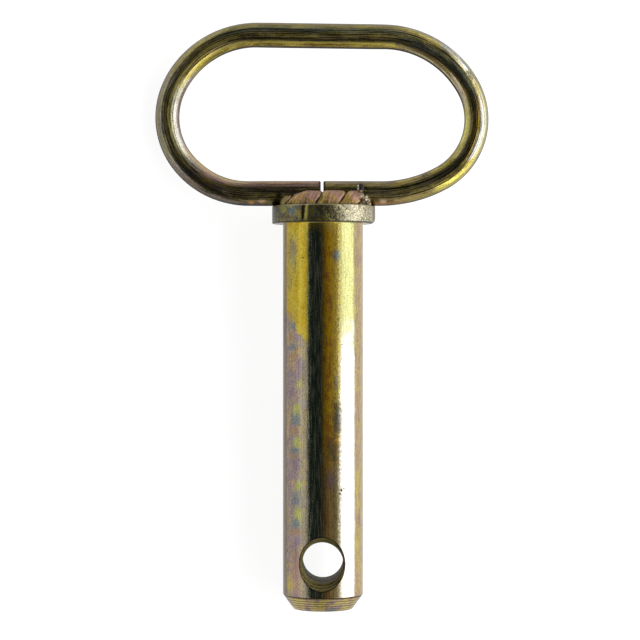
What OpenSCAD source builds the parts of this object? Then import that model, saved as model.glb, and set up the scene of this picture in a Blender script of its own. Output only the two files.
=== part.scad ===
// Top link pin: a headed steel pin with a linch-pin hole through its tip and a loop handle of
// round bar welded across its head. Millimetres.
// The pin lies as it comes to rest, on its head, its tip and the left side of its loop:
// +X across the pin to its right, +Y towards the handle, +Z up.
// The origin is on the pin's axis, in the plane of the head's seat face.

/* [Shank] */
// Diameter of the shank
shank_d = 25.4; // [19:0.1:32]
// Length under the head, from the seat face to the end face
shank_l = 122; // [95:1:160]
// Length of the lead-in chamfer at the tip
tip_chamfer_l = 4.7; // [2:0.1:6]
// Diameter of the flat end face
end_face_d = 18.7; // [12:0.1:18.7]

/* [Head] */
// Diameter of the head
head_d = 32.7; // [32:0.1:42]
// Thickness of the head
head_t = 5.6; // [4:0.1:8]
// Broken edge round both faces of the head
head_break = 0.35; // [0.1:0.05:0.8]

/* [Linch-pin hole] */
// Diameter of the cross hole
hole_d = 13; // [8:0.1:14]
// Distance from the end face to the hole's centre
hole_from_tip = 15.4; // [10:0.1:30]
// Diameter of the countersink where it breaks out at the shank's crown
countersink_d = 16.8; // [15:0.1:17.5]
// Included angle of the countersink
countersink_angle = 60; // [50:1:90]

/* [Loop handle] */
// Diameter of the round bar
bar_d = 7.9; // [6:0.1:9.5]
// Width of the loop along the bar's centre line
loop_w = 98.1; // [80:0.1:125]
// Height of the loop along the bar's centre line, at the left end of the top run
loop_h = 50.3; // [42:0.1:65]
// How far the loop's middle stands off the pin's axis along X
loop_offset = -0.35; // [-2:0.05:2]
// Fall of the top run from left to right, in degrees
top_run_fall = 0.8; // [0:0.1:2]
// Radius of the left side's first bend, next to the head
left_first_r = 26.6; // [20:0.1:32]
// Angle of the left side's first bend
left_first_a = 51.5; // [30:0.5:60]
// Radius of the left side's second bend
left_second_r = 22.6; // [18:0.1:26]
// Angle of the left side's second bend
left_second_a = 64.4; // [45:0.1:75]
// Radius of the right side's first bend, next to the head
right_first_r = 40.9; // [30:0.1:48]
// Angle of the right side's first bend
right_first_a = 28.3; // [15:0.1:35]
// Radius of the right side's second bend
right_second_r = 21.2; // [18:0.1:24]
// Angle of the right side's second bend
right_second_a = 90.8; // [75:0.1:100]
// Gap left between the bar's two ends
end_gap = 0.85; // [0.5:0.05:3]
// Where the middle of that gap is along X
end_gap_x = -0.3; // [-2:0.05:2]
// Broken edge round each end of the bar
end_break = 0.4; // [0.1:0.05:1]
// How much the bar's radius draws down from a straight to a bend, and again in the tightest bend
draw_down = 0.06; // [0.03:0.01:0.1]

/* [Welds] */
// Leg of the fillet welds, up the bar and along the head
weld_leg = 4.6; // [3:0.1:5]
// Left end of the front weld along X
front_weld_from = -13.5; // [-14:0.1:-10]
// Right end of the front weld along X
front_weld_to = 15.2; // [10:0.1:15.2]
// Left end of the rear weld along X
rear_weld_from = -13.8; // [-14:0.1:-10]
// Right end of the rear weld along X
rear_weld_to = 13.8; // [10:0.1:14]
// Number of stitches in each weld
weld_stitches = 5; // [4:1:8]
// How far the weld's face dips between two stitches
stitch_dip = 0.5; // [0.2:0.1:0.8]
// Leg of the weld at its two ends
weld_end_r = 2.6; // [1.8:0.1:3]
// Clearance between the bar and the head before welding
root_gap = 0.1; // [0.05:0.05:0.4]
// How near to the bar's underside line the weld metal reaches
weld_root = 1.5; // [1.2:0.1:2]

/* [Hidden] */
$fn = 96;
shank_r = shank_d / 2;
head_r = head_d / 2;
bar_r = bar_d / 2;
hole_r = hole_d / 2;
// Height of the bar's centre line over the head's seat face, where it crosses the head
bar_z = head_t + root_gap + bar_r;
// On its side the pin touches the ground with the head's rim and the start of the tip chamfer
lie_angle = atan((head_r - shank_r) / (head_break + shank_l - tip_chamfer_l));
// Height of the origin over the ground then
origin_h = head_r * cos(lie_angle) - head_break * sin(lie_angle);
// Past a surface that a cutter has to clear
cut_past = 1;
// How far each stretch of the bar runs into the next, so that they join solidly
lap = 0.2;
// The bar's radius in the three bends of a side
bend_bar_r = [bar_r - draw_down, bar_r - 2 * draw_down, bar_r - draw_down];

// A side of the loop is a straight and three bends, each bend [radius, angle]. The third bend
// takes up what is left of the turn and closes the loop's height.
function turned(bends, n) = n == 0 ? 0 : turned(bends, n - 1) + bends[n - 1][1];
// Distance gained outwards and upwards by the first n bends, up to a heading of most degrees
function gained_out(bends, n, most = 360) = n == 0 ? 0 : gained_out(bends, n - 1, most)
    + bends[n - 1][0] * (sin(min(turned(bends, n), most)) - sin(min(turned(bends, n - 1), most)));
function gained_up(bends, n) = n == 0 ? 0 : gained_up(bends, n - 1)
    + bends[n - 1][0] * (cos(turned(bends, n - 1)) - cos(turned(bends, n)));

left_first_bends = [[left_first_r, left_first_a], [left_second_r, left_second_a]];
left_turned = turned(left_first_bends, 2);
left_total = 180 + top_run_fall;
left_third_r = (loop_h - gained_up(left_first_bends, 2)) / (cos(left_turned) - cos(left_total));
left_bends = concat(left_first_bends, [[left_third_r, left_total - left_turned]]);
// The bends reach furthest out where the bar heads straight up
left_run = loop_w / 2 - loop_offset + end_gap_x - gained_out(left_bends, 3, 90);
left_out = left_run + gained_out(left_bends, 3);

right_first_bends = [[right_first_r, right_first_a], [right_second_r, right_second_a]];
right_turned = turned(right_first_bends, 2);
right_total = 180 - top_run_fall;
right_run = loop_w / 2 + loop_offset - end_gap_x - gained_out(right_first_bends, 2, 90);
fall = tan(top_run_fall);
// The third bend ends on the line of the top run
right_third_r = (loop_h - gained_up(right_first_bends, 2)
        - fall * (left_out + right_run + gained_out(right_first_bends, 2)))
    / (cos(right_turned) - cos(right_total) + fall * (sin(right_total) - sin(right_turned)));
right_bends = concat(right_first_bends, [[right_third_r, right_total - right_turned]]);
right_out = right_run + gained_out(right_bends, 3);
top_run = (left_out + right_out) / cos(top_run_fall);

// The loop is a little heavier on its left, so the pin rolls over until the left second bend
// touches the ground. That bend's centre is this far out from the pin's axis, and its lowest
// point touches where rest_out * slant + left_second_r * norm([slant, rise]) = rest_drop.
rest_out = loop_w / 2 - loop_offset - left_second_r;
rest_up = bar_z + left_first_r - (left_first_r - left_second_r) * cos(left_first_a);
rise = sin(lie_angle);
rest_drop = origin_h - bend_bar_r[1] + rest_up * rise;
rest_reach = pow(rest_drop, 2) - pow(left_second_r * rise, 2);
rest_spread = pow(rest_out, 2) - pow(left_second_r, 2);
slant = rest_reach
    / (rest_drop * rest_out + sqrt(pow(rest_drop * rest_out, 2) - rest_spread * rest_reach));
roll_angle = asin(slant / cos(lie_angle));

// Lays a shape drawn about the pin's upright axis, head up, down on its side and rolls it to rest.
// Drawn upright, the front that ends up on top is at -Y.
module lie() {
    rotate([lie_angle - 90, 0, 0])
        rotate([0, 0, -roll_angle])
            children();
}

// The cross hole with its countersinks, along Y through the pin's axis
module linch_hole_cutter() {
    slope = tan(countersink_angle / 2);
    countersink_depth = (countersink_d / 2 - hole_r) / slope;
    rotate([90, 0, 0]) cylinder(h = shank_d + 2 * cut_past, r = hole_r, center = true);
    for (side = [-90, 90])
        rotate([side, 0, 0])
            translate([0, 0, shank_r - countersink_depth])
                cylinder(
                    h = countersink_depth + cut_past,
                    r1 = hole_r,
                    r2 = countersink_d / 2 + cut_past * slope
                );
}

module pin_profile() {
    polygon([
        [0, -shank_l],
        [end_face_d / 2, -shank_l],
        [shank_r, tip_chamfer_l - shank_l],
        [shank_r, 0],
        [head_r - head_break, 0],
        [head_r, head_break],
        [head_r, head_t - head_break],
        [head_r - head_break, head_t],
        [0, head_t]
    ]);
}

// Shank and head, forged and turned in one piece
module headed_pin() {
    color("darkgoldenrod")
        lie()
            difference() {
                rotate_extrude() pin_profile();
                translate([0, 0, hole_from_tip - shank_l]) linch_hole_cutter();
            }
}

// One bend of the bar, from the origin along +X and turning towards +Y
module bend(r, angle, section_r) {
    lap_angle = lap / r * 180 / PI;
    translate([0, r, 0])
        rotate([0, 0, -90 - lap_angle])
            rotate_extrude(angle = angle + 2 * lap_angle)
                translate([r, 0]) circle(r = section_r);
}

// The bends from number n on, each starting where the last one ends
module bends_from(bends, n = 0) {
    if (n < len(bends)) {
        r = bends[n][0];
        angle = bends[n][1];
        bend(r, angle, bend_bar_r[n]);
        translate([r * sin(angle), r * (1 - cos(angle)), 0])
            rotate([0, 0, angle])
                bends_from(bends, n + 1);
    }
}

// One side of the loop, from the gap between the bar's ends outwards along +X
module loop_side(run, bends) {
    start = end_gap / 2;
    rotate([0, 90, 0]) {
        translate([0, 0, start]) cylinder(h = end_break, r1 = bar_r - end_break, r2 = bar_r);
        translate([0, 0, start + end_break]) cylinder(h = run + lap - start - end_break, r = bar_r);
    }
    translate([run, 0, 0]) bends_from(bends);
}

// The whole loop, drawn in the XY plane with the gap between its ends at the origin
module bar_loop() {
    loop_side(right_run, right_bends);
    mirror([1, 0, 0]) loop_side(left_run, left_bends);
    translate([-left_out, loop_h, 0])
        rotate([0, 0, -top_run_fall])
            rotate([0, 90, 0])
                translate([0, 0, -lap])
                    cylinder(h = top_run + 2 * lap, r = bar_r);
}

module loop_handle() {
    color("olive")
        lie()
            translate([end_gap_x, 0, bar_z])
                rotate([90, 0, 0])
                    bar_loop();
}

// Half the outline of a run of stitches, for turning: crests between valleys, and small blunt ends
module stitches_profile(length) {
    pitch = length / weld_stitches;
    valleys = [for (i = [1 : weld_stitches - 1]) [weld_leg - stitch_dip, i * pitch]];
    crests = [for (i = [0 : weld_stitches - 1]) [weld_leg, (i + 0.5) * pitch]];
    stitches = [for (i = [0 : weld_stitches - 2]) each [crests[i], valleys[i]]];
    polygon(concat(
        [[0, 0], [weld_end_r, 0]],
        stitches,
        [crests[weld_stitches - 1], [weld_end_r, length], [0, length]]
    ));
}

// A fillet weld in the corner between the bar's -Y side and the head, turned about that corner
module weld(from_x, to_x) {
    long = to_x - from_x + 2 * cut_past;
    deep = weld_leg + cut_past;
    difference() {
        translate([from_x, -bar_r, head_t])
            rotate([0, 90, 0])
                rotate_extrude()
                    stitches_profile(to_x - from_x);
        translate([from_x - cut_past, 0, bar_z])
            rotate([0, 90, 0])
                cylinder(h = long, r = bar_r);
        translate([from_x - cut_past, -bar_r - deep, head_t - deep])
            cube([long, 2 * (bar_r + deep), deep]);
        translate([from_x - cut_past, -weld_root, head_t - cut_past])
            cube([long, bar_r + deep, deep + cut_past]);
    }
}

module front_weld() {
    color("rosybrown")
        lie()
            weld(front_weld_from, front_weld_to);
}

module rear_weld() {
    color("rosybrown")
        lie()
            rotate([0, 0, 180])
                weld(-rear_weld_to, -rear_weld_from);
}

headed_pin();
loop_handle();
front_weld();
rear_weld();
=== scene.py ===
import math
from collections import Counter

import bpy
import numpy as np
from mathutils import Matrix, Vector


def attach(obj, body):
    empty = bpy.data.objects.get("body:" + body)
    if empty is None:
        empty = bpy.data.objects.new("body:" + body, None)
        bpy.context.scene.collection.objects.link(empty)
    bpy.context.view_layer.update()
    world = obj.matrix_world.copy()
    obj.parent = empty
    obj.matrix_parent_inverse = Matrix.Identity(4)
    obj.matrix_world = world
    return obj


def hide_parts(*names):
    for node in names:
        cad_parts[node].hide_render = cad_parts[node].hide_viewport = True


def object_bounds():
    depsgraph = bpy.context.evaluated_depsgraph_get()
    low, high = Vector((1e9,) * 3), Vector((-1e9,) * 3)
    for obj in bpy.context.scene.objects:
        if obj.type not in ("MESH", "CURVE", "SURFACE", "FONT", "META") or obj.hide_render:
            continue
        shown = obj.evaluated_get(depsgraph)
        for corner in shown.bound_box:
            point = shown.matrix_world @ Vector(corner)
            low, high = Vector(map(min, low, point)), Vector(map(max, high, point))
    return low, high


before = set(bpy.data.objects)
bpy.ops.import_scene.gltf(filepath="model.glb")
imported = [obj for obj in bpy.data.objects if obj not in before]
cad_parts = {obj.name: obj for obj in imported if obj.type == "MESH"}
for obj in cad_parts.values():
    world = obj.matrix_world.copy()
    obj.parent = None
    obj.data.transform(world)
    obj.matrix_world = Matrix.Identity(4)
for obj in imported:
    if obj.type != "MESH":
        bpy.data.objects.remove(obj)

CAD_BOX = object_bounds()
MM = 0.001

# ---- Sizes of the pin, as in the CAD model -----------------------------------------------------

SHANK_R = 12.7 * MM
SHANK_L = 122.0 * MM
CHAMFER_L = 4.7 * MM
END_FACE_R = 9.35 * MM
HEAD_R = 16.35 * MM
HEAD_T = 5.6 * MM
HEAD_BREAK = 0.35 * MM
HOLE_R = 6.5 * MM
HOLE_Z = -106.6 * MM
COUNTERSINK_R = 8.4 * MM
COUNTERSINK_SLOPE = math.tan(math.radians(30))
BAR_R = 3.95 * MM
BAR_Z = HEAD_T + 0.1 * MM + BAR_R
DRAW_DOWN = 0.06 * MM
LOOP_W = 98.1 * MM
LOOP_H = 50.3 * MM
LOOP_OFFSET = -0.35 * MM
TOP_RUN_FALL = math.radians(0.8)
GAP = 0.85 * MM
GAP_X = -0.3 * MM
END_BREAK = 0.4 * MM

# The pin lies on its head's rim, the start of its tip chamfer and the left side of its loop
LIE_ANGLE = math.atan((HEAD_R - SHANK_R) / (HEAD_BREAK + SHANK_L - CHAMFER_L))
ROLL_ANGLE = math.radians(15.8776444)
LIE_DOWN = Matrix.Rotation(LIE_ANGLE - math.pi / 2, 4, "X") @ Matrix.Rotation(-ROLL_ANGLE, 4, "Z")
# The studio stands square to the loop: X across it, Y along the pin, Z out of its flat side
STUDIO = LIE_DOWN @ Matrix.Rotation(math.pi / 2, 4, "X")


# ---- Modelling helpers -------------------------------------------------------------------------

def deselect_all():
    bpy.ops.object.select_all(action="DESELECT")


def edit(obj):
    deselect_all()
    obj.select_set(True)
    bpy.context.view_layer.objects.active = obj
    bpy.ops.object.mode_set(mode="EDIT")


def end_edit():
    bpy.ops.object.mode_set(mode="OBJECT")


def apply_modifiers(obj):
    deselect_all()
    obj.select_set(True)
    bpy.context.view_layer.objects.active = obj
    for modifier in list(obj.modifiers):
        bpy.ops.object.modifier_apply(modifier=modifier.name)


def points_of(obj):
    """The mesh's corners as an array of N x 3."""
    points = np.empty(len(obj.data.vertices) * 3)
    obj.data.vertices.foreach_get("co", points)
    return points.reshape(-1, 3)


def set_points(obj, points):
    obj.data.vertices.foreach_set("co", points.ravel())
    obj.data.update()


def lay_down(obj):
    """Lays a piece drawn about the upright pin down with it, place in the mesh."""
    obj.data.transform(LIE_DOWN)
    obj.data.update()


def smoothstep(low, high, x):
    t = np.clip((x - low) / (high - low), 0.0, 1.0)
    return t * t * (3 - 2 * t)


def turned_piece(name, outline, segments):
    """Turns a piece about Z from its outline of (radius, height), closed at both ends."""
    deselect_all()
    radius, height = outline[0]
    bpy.ops.mesh.primitive_circle_add(
        vertices=segments, radius=radius, fill_type="NGON", location=(0, 0, height))
    obj = bpy.context.object
    obj.name = name
    obj.data.name = name
    deselect_all()
    obj.select_set(True)
    bpy.ops.object.transform_apply(location=True)
    edit(obj)
    bpy.ops.mesh.select_all(action="SELECT")
    for next_radius, next_height in outline[1:]:
        bpy.ops.mesh.extrude_region_move(
            TRANSFORM_OT_translate={"value": (0, 0, next_height - height)})
        factor = next_radius / radius
        bpy.ops.transform.resize(
            value=(factor, factor, 1), center_override=(0, 0, next_height))
        radius, height = next_radius, next_height
    end_edit()
    return obj


def steps(start, end, longest):
    """Heights from start to end, the start left out, no further apart than longest."""
    count = max(1, math.ceil(abs(end - start) / longest - 1e-6))
    return [start + (end - start) * (i + 1) / count for i in range(count)]


def rounded_corner(radius, height, size, way, count=4):
    """Outline points round a turned corner of that size, way +1 where the radius grows into it."""
    angles = [math.pi / 2 * i / count for i in range(count + 1)]
    if way > 0:
        return [(radius - size + size * math.sin(a), height + size - size * math.cos(a))
                for a in angles]
    return [(radius - size + size * math.cos(a), height - size + size * math.sin(a))
            for a in angles]


# ---- The headed pin ----------------------------------------------------------------------------

PIN_SEGMENTS = 224
TIP_ROUND = 0.5 * MM
FACE_TURNS = 6
# The forged head sits off the shank's axis
HEAD_OFF = 0.22 * MM
CUTTER_SEGMENTS = 128
# How the hole's front edge is broken: wider, to the left, and towards the tip
BROKEN_WIDER = 0.15 * MM
BROKEN_LEFT = 0.4 * MM
BROKEN_DOWN = 0.3 * MM


def pin_outline():
    chamfer_z = CHAMFER_L - SHANK_L
    outline = [(END_FACE_R * (i + 1) / FACE_TURNS, -SHANK_L) for i in range(FACE_TURNS - 1)]
    outline.append((END_FACE_R - 0.6 * TIP_ROUND, -SHANK_L))
    outline.append((END_FACE_R - 0.2 * TIP_ROUND, -SHANK_L + 0.12 * TIP_ROUND))
    outline.append((END_FACE_R + 0.12 * TIP_ROUND, -SHANK_L + 0.45 * TIP_ROUND))
    slope = (SHANK_R - END_FACE_R) / CHAMFER_L
    for z in steps(-SHANK_L + TIP_ROUND, chamfer_z - 0.3 * TIP_ROUND, 0.7 * MM):
        outline.append((SHANK_R - (chamfer_z - z) * slope, z))
    outline.append((SHANK_R - 0.02 * MM, chamfer_z + 0.1 * TIP_ROUND))
    outline.append((SHANK_R, chamfer_z + 0.6 * TIP_ROUND))
    hole_start, hole_end = HOLE_Z - 9.5 * MM, HOLE_Z + 9.5 * MM
    outline += [(SHANK_R, z) for z in steps(chamfer_z + 0.6 * TIP_ROUND, hole_start, 0.8 * MM)]
    outline += [(SHANK_R, z) for z in steps(hole_start, hole_end, 0.6 * MM)]
    outline += [(SHANK_R, z) for z in steps(hole_end, -0.4 * MM, 2 * MM)]
    outline.append((SHANK_R + 0.03 * MM, -0.15 * MM))
    outline.append((SHANK_R + 0.12 * MM, -0.03 * MM))
    outline.append((SHANK_R + 0.3 * MM, 0))
    outline.append((SHANK_R + 1.4 * MM, 0))
    outline.append((HEAD_R - 1.7 * MM, 0))
    outline.append((HEAD_R - 1.0 * MM, 0))
    outline += rounded_corner(HEAD_R, 0, HEAD_BREAK, 1)
    outline += [(HEAD_R, z) for z in steps(HEAD_BREAK, HEAD_T - HEAD_BREAK, 0.33 * MM)]
    outline += rounded_corner(HEAD_R, HEAD_T, HEAD_BREAK, -1)[1:]
    outline += [(HEAD_R - inset * MM, HEAD_T) for inset in (0.8, 1.4, 2.2, 3.5, 5.5, 8, 11, 14)]
    return outline


def drill_ring(depth):
    """The rings a drill leaves in a bore, at a depth from its middle."""
    fade = smoothstep(0, 0.6 * MM, SHANK_R - 1.4 * MM - depth)
    return fade * (0.085 * MM * math.sin(depth / (2.7 * MM) * math.tau)
                   + 0.045 * MM * math.sin(depth / (1.45 * MM) * math.tau + 1))


def hole_cutter():
    """The cross hole's cutter: bore, drill-rounded edges and a countersink at each end."""
    depth = (COUNTERSINK_R - HOLE_R) / COUNTERSINK_SLOPE
    sink_z = SHANK_R - depth
    over = 2 * MM
    half = [(HOLE_R + drill_ring(z), z) for z in steps(0, sink_z - 0.4 * MM, 0.3 * MM)]
    half.append((HOLE_R + 0.03 * MM, sink_z - 0.12 * MM))
    half.append((HOLE_R + 0.14 * MM, sink_z + 0.17 * MM))
    half += [(HOLE_R + (z - sink_z) * COUNTERSINK_SLOPE, z)
             for z in steps(sink_z + 0.3 * MM, SHANK_R + over, 0.8 * MM)]
    outline = [(r, -z) for r, z in reversed(half)] + [(HOLE_R, 0)] + half
    cutter = turned_piece("hole_cutter", outline, CUTTER_SEGMENTS)
    points = points_of(cutter)
    broken = smoothstep(sink_z - 0.5 * MM, sink_z + 0.1 * MM, points[:, 2])
    points[:, :2] *= (1 + BROKEN_WIDER / COUNTERSINK_R * broken)[:, None]
    points[:, 0] -= BROKEN_LEFT * broken
    points[:, 1] -= BROKEN_DOWN * broken
    set_points(cutter, points)
    cutter.data.transform(Matrix.Translation((0, 0, HOLE_Z)) @ Matrix.Rotation(math.pi / 2, 4, "X"))
    return cutter


def knock_head(points):
    """Rounds the head's seat-side corner on the right, as a blow leaves it."""
    x, y, z = points.T
    r = np.hypot(x, y)
    angle = np.arctan2(y, x)
    # The rounded corner is widest at +X and fades out to both sides
    size = (HEAD_BREAK + 1.25 * MM * np.exp(-(angle / 0.75) ** 2))
    dr, dz = r - (HEAD_R - size), size - z
    inside = (dr > 0) & (dz > 0) & (z > -0.01 * MM)
    away = np.hypot(dr, dz)
    shrink = np.where(inside & (away > size), size / np.maximum(away, 1e-9), 1.0)
    new_r = np.where(inside, HEAD_R - size + dr * shrink, r)
    new_z = np.where(inside, size - dz * shrink, z)
    scale = new_r / np.maximum(r, 1e-9)
    points[:] = np.column_stack([x * scale, y * scale, new_z])


def groove_head(points):
    """The forging's groove down the head's rim, left of its front, and the gouge on its top edge."""
    x, y, z = points.T
    r = np.hypot(x, y)
    on_rim = (r > HEAD_R - 1.2 * MM) & (z > -0.1 * MM)
    front = y < 0
    groove_x = -6.1 * MM + (z / HEAD_T - 0.5) * 0.5 * MM
    across = np.exp(-((x - groove_x) / (0.42 * MM)) ** 2)
    depth = 0.32 * MM * across * smoothstep(0.3 * MM, 2.0 * MM, z)
    gouge_along = (x - 5.4 * MM) * 0.55 - (z - 5.2 * MM) * -0.83
    gouge_across = (x - 5.4 * MM) * 0.83 + (z - 5.2 * MM) * 0.55
    gouge = 0.3 * MM * np.exp(-(gouge_along / (0.35 * MM)) ** 2 - (gouge_across / (1.1 * MM)) ** 2)
    depth = np.where(on_rim & front, depth + gouge, 0)
    scale = 1 - depth / np.maximum(r, 1e-9)
    points[:, 0] *= scale
    points[:, 1] *= scale


def make_headed_pin():
    pin = turned_piece("headed_pin_finished", pin_outline(), PIN_SEGMENTS)
    points = points_of(pin)
    knock_head(points)
    groove_head(points)
    off_axis = np.hypot(points[:, 0], points[:, 1])
    off_centre = smoothstep(SHANK_R + 0.2 * MM, SHANK_R + 1.2 * MM, off_axis)
    points[:, 0] += HEAD_OFF * off_centre * (points[:, 2] > -0.1 * MM)
    set_points(pin, points)
    cutter = hole_cutter()
    cut = pin.modifiers.new("cross_hole", "BOOLEAN")
    cut.operation = "DIFFERENCE"
    cut.solver = "EXACT"
    cut.object = cutter
    apply_modifiers(pin)
    bpy.data.objects.remove(cutter)
    lay_down(pin)
    return pin


# ---- The loop handle ---------------------------------------------------------------------------

BAR_SIDES = 64
BAR_LENGTH = 249.44 * MM
BEND_STEP = 0.6 * MM
STRAIGHT_STEP = 0.45 * MM
TOP_RUN_STEP = 1.0 * MM
LINE_STEP = 0.5 * MM
# How many points of the centre line the draw-down is smoothed over, to each side
DRAW_BLUR = 8
# Points unbent at a time, to keep the table of distances small
UNBEND_LOT = 2000

# Radius and angle of the two bends next to the straight, on each side
LEFT_BENDS = [(26.6 * MM, math.radians(51.5)), (22.6 * MM, math.radians(64.4))]
RIGHT_BENDS = [(40.9 * MM, math.radians(28.3)), (21.2 * MM, math.radians(90.8))]


def turned_by(bends):
    return sum(angle for _, angle in bends)


def gained_out(bends, most=math.tau):
    out, heading = 0.0, 0.0
    for radius, angle in bends:
        after = heading + angle
        out += radius * (math.sin(min(after, most)) - math.sin(min(heading, most)))
        heading = after
    return out


def gained_up(bends):
    up, heading = 0.0, 0.0
    for radius, angle in bends:
        up += radius * (math.cos(heading) - math.cos(heading + angle))
        heading += angle
    return up


def loop_plan():
    """The straight and three bends of each side, closed on the top run as in the CAD model."""
    quarter = math.pi / 2
    left_turned, left_total = turned_by(LEFT_BENDS), math.pi + TOP_RUN_FALL
    left_third = (LOOP_H - gained_up(LEFT_BENDS)) / (math.cos(left_turned) - math.cos(left_total))
    left = LEFT_BENDS + [(left_third, left_total - left_turned)]
    left_run = LOOP_W / 2 - LOOP_OFFSET + GAP_X - gained_out(left, quarter)
    left_out = left_run + gained_out(left)
    right_turned, right_total = turned_by(RIGHT_BENDS), math.pi - TOP_RUN_FALL
    right_run = LOOP_W / 2 + LOOP_OFFSET - GAP_X - gained_out(RIGHT_BENDS, quarter)
    fall = math.tan(TOP_RUN_FALL)
    rise = (LOOP_H - gained_up(RIGHT_BENDS)
            - fall * (left_out + right_run + gained_out(RIGHT_BENDS)))
    right_third = rise / (math.cos(right_turned) - math.cos(right_total)
                          + fall * (math.sin(right_total) - math.sin(right_turned)))
    right = RIGHT_BENDS + [(right_third, right_total - right_turned)]
    right_out = right_run + gained_out(right)
    top_run = (left_out + right_out) / math.cos(TOP_RUN_FALL)
    return left_run, left, top_run, right_run, right


def sweep_straight(length, heading, at, longest):
    """Extrudes the selected end of the bar straight on, and returns where it ends."""
    direction = Vector((math.cos(heading), 0, math.sin(heading)))
    done = 0.0
    for reach in steps(0, length, longest):
        bpy.ops.mesh.extrude_region_move(
            TRANSFORM_OT_translate={"value": direction * (reach - done)})
        done = reach
    return at + direction * length


def sweep_bend(radius, angle, heading, at):
    """Spins the selected end of the bar round a bend to the left, and returns its end and heading."""
    centre = at + Vector((-math.sin(heading), 0, math.cos(heading))) * radius
    count = math.ceil(radius * angle / BEND_STEP)
    bpy.ops.mesh.spin(steps=count, angle=angle, center=centre, axis=(0, 1, 0))
    after = heading + angle
    end = centre + Vector((math.sin(after), 0, -math.cos(after))) * radius
    return end, after


def centre_line(left_run, left, top_run, right_run, right):
    """Points along the bar from its right end round to its left end, and how far each is drawn down."""
    points, draws = [Vector((GAP_X + GAP / 2, 0, BAR_Z))], [0.0]
    at, heading = Vector((GAP_X, 0, BAR_Z)), 0.0

    def straight(length, skip):
        nonlocal at
        direction = Vector((math.cos(heading), 0, math.sin(heading)))
        for reach in steps(skip, length, LINE_STEP):
            points.append(at + direction * reach)
            draws.append(0.0)
        at = at + direction * length

    def bend(radius, angle, draw):
        nonlocal at, heading
        centre = at + Vector((-math.sin(heading), 0, math.cos(heading))) * radius
        for part in steps(0, angle, LINE_STEP / radius):
            turn = heading + part
            points.append(centre + Vector((math.sin(turn), 0, -math.cos(turn))) * radius)
            draws.append(draw)
        heading += angle
        at = points[-1]

    draws_by_bend = (1.0, 2.0, 1.0)
    straight(right_run, GAP / 2)
    for (radius, angle), draw in zip(right, draws_by_bend):
        bend(radius, angle, draw)
    straight(top_run, 0)
    for (radius, angle), draw in zip(reversed(left), reversed(draws_by_bend)):
        bend(radius, angle, draw)
    straight(left_run - GAP / 2, 0)
    return np.array(points), np.array(draws)


def unbend(points, line, smooth_draws):
    """Each point's place on the straightened bar, its centre and how far it is drawn down there."""
    reach = np.concatenate([[0], np.cumsum(np.linalg.norm(np.diff(line, axis=0), axis=1))])
    straight = np.empty_like(points)
    draw = np.empty(len(points))
    nearest_at = np.empty_like(points)
    for start in range(0, len(points), UNBEND_LOT):
        lot = slice(start, start + UNBEND_LOT)
        part = points[lot]
        gaps = ((part[:, None, :] - line[None, :, :]) ** 2).sum(2)
        nearest = np.clip(gaps.argmin(1), 1, len(line) - 2)
        tangent = line[nearest + 1] - line[nearest - 1]
        tangent /= np.linalg.norm(tangent, axis=1)[:, None]
        off = part - line[nearest]
        along = (off * tangent).sum(1)
        at = line[nearest] + tangent * along[:, None]
        outward = np.column_stack([tangent[:, 2], np.zeros(len(part)), -tangent[:, 0]])
        side = ((part - at) * outward).sum(1)
        straight[lot] = np.column_stack([reach[nearest] + along, part[:, 1], side])
        nearest_at[lot] = at
        draw[lot] = smooth_draws[nearest]
    return straight, nearest_at, draw


def blur(values, reach):
    kernel = np.ones(2 * reach + 1) / (2 * reach + 1)
    return np.convolve(np.pad(values, reach, mode="edge"), kernel, mode="valid")


# Where the spatter ball sits on the bar, and the pit burnt beside it
SPATTER_AT = Vector((11.9 * MM, -3.5 * MM, 11.2 * MM))
PIT_AT = Vector((12.8 * MM, -3.7 * MM, 10.6 * MM))


def pit_bar(points):
    """The pit burnt into the bar beside the spatter ball."""
    offset = (points - np.array(PIT_AT)) / np.array([0.75 * MM, 1.5 * MM, 0.9 * MM])
    depth = 0.55 * MM * np.exp(-(offset ** 2).sum(1))
    points[:, 1] += np.where(points[:, 1] < 0, depth, 0)


def break_end(x, shares, opening):
    """Extrudes the bar's end on from x, its edge broken by a small round in steps of those shares."""
    before = 0.0
    for last, share in zip(shares, shares[1:]):
        fall = math.sqrt(1 - share * share)
        size = END_BREAK * (1 - fall if opening else fall)
        bpy.ops.mesh.extrude_region_move(
            TRANSFORM_OT_translate={"value": (size - before, 0, 0)})
        factor = (BAR_R - END_BREAK + END_BREAK * share) / (BAR_R - END_BREAK + END_BREAK * last)
        bpy.ops.transform.resize(
            value=(1, factor, factor), center_override=(x + size, 0, BAR_Z))
        before = size


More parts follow.
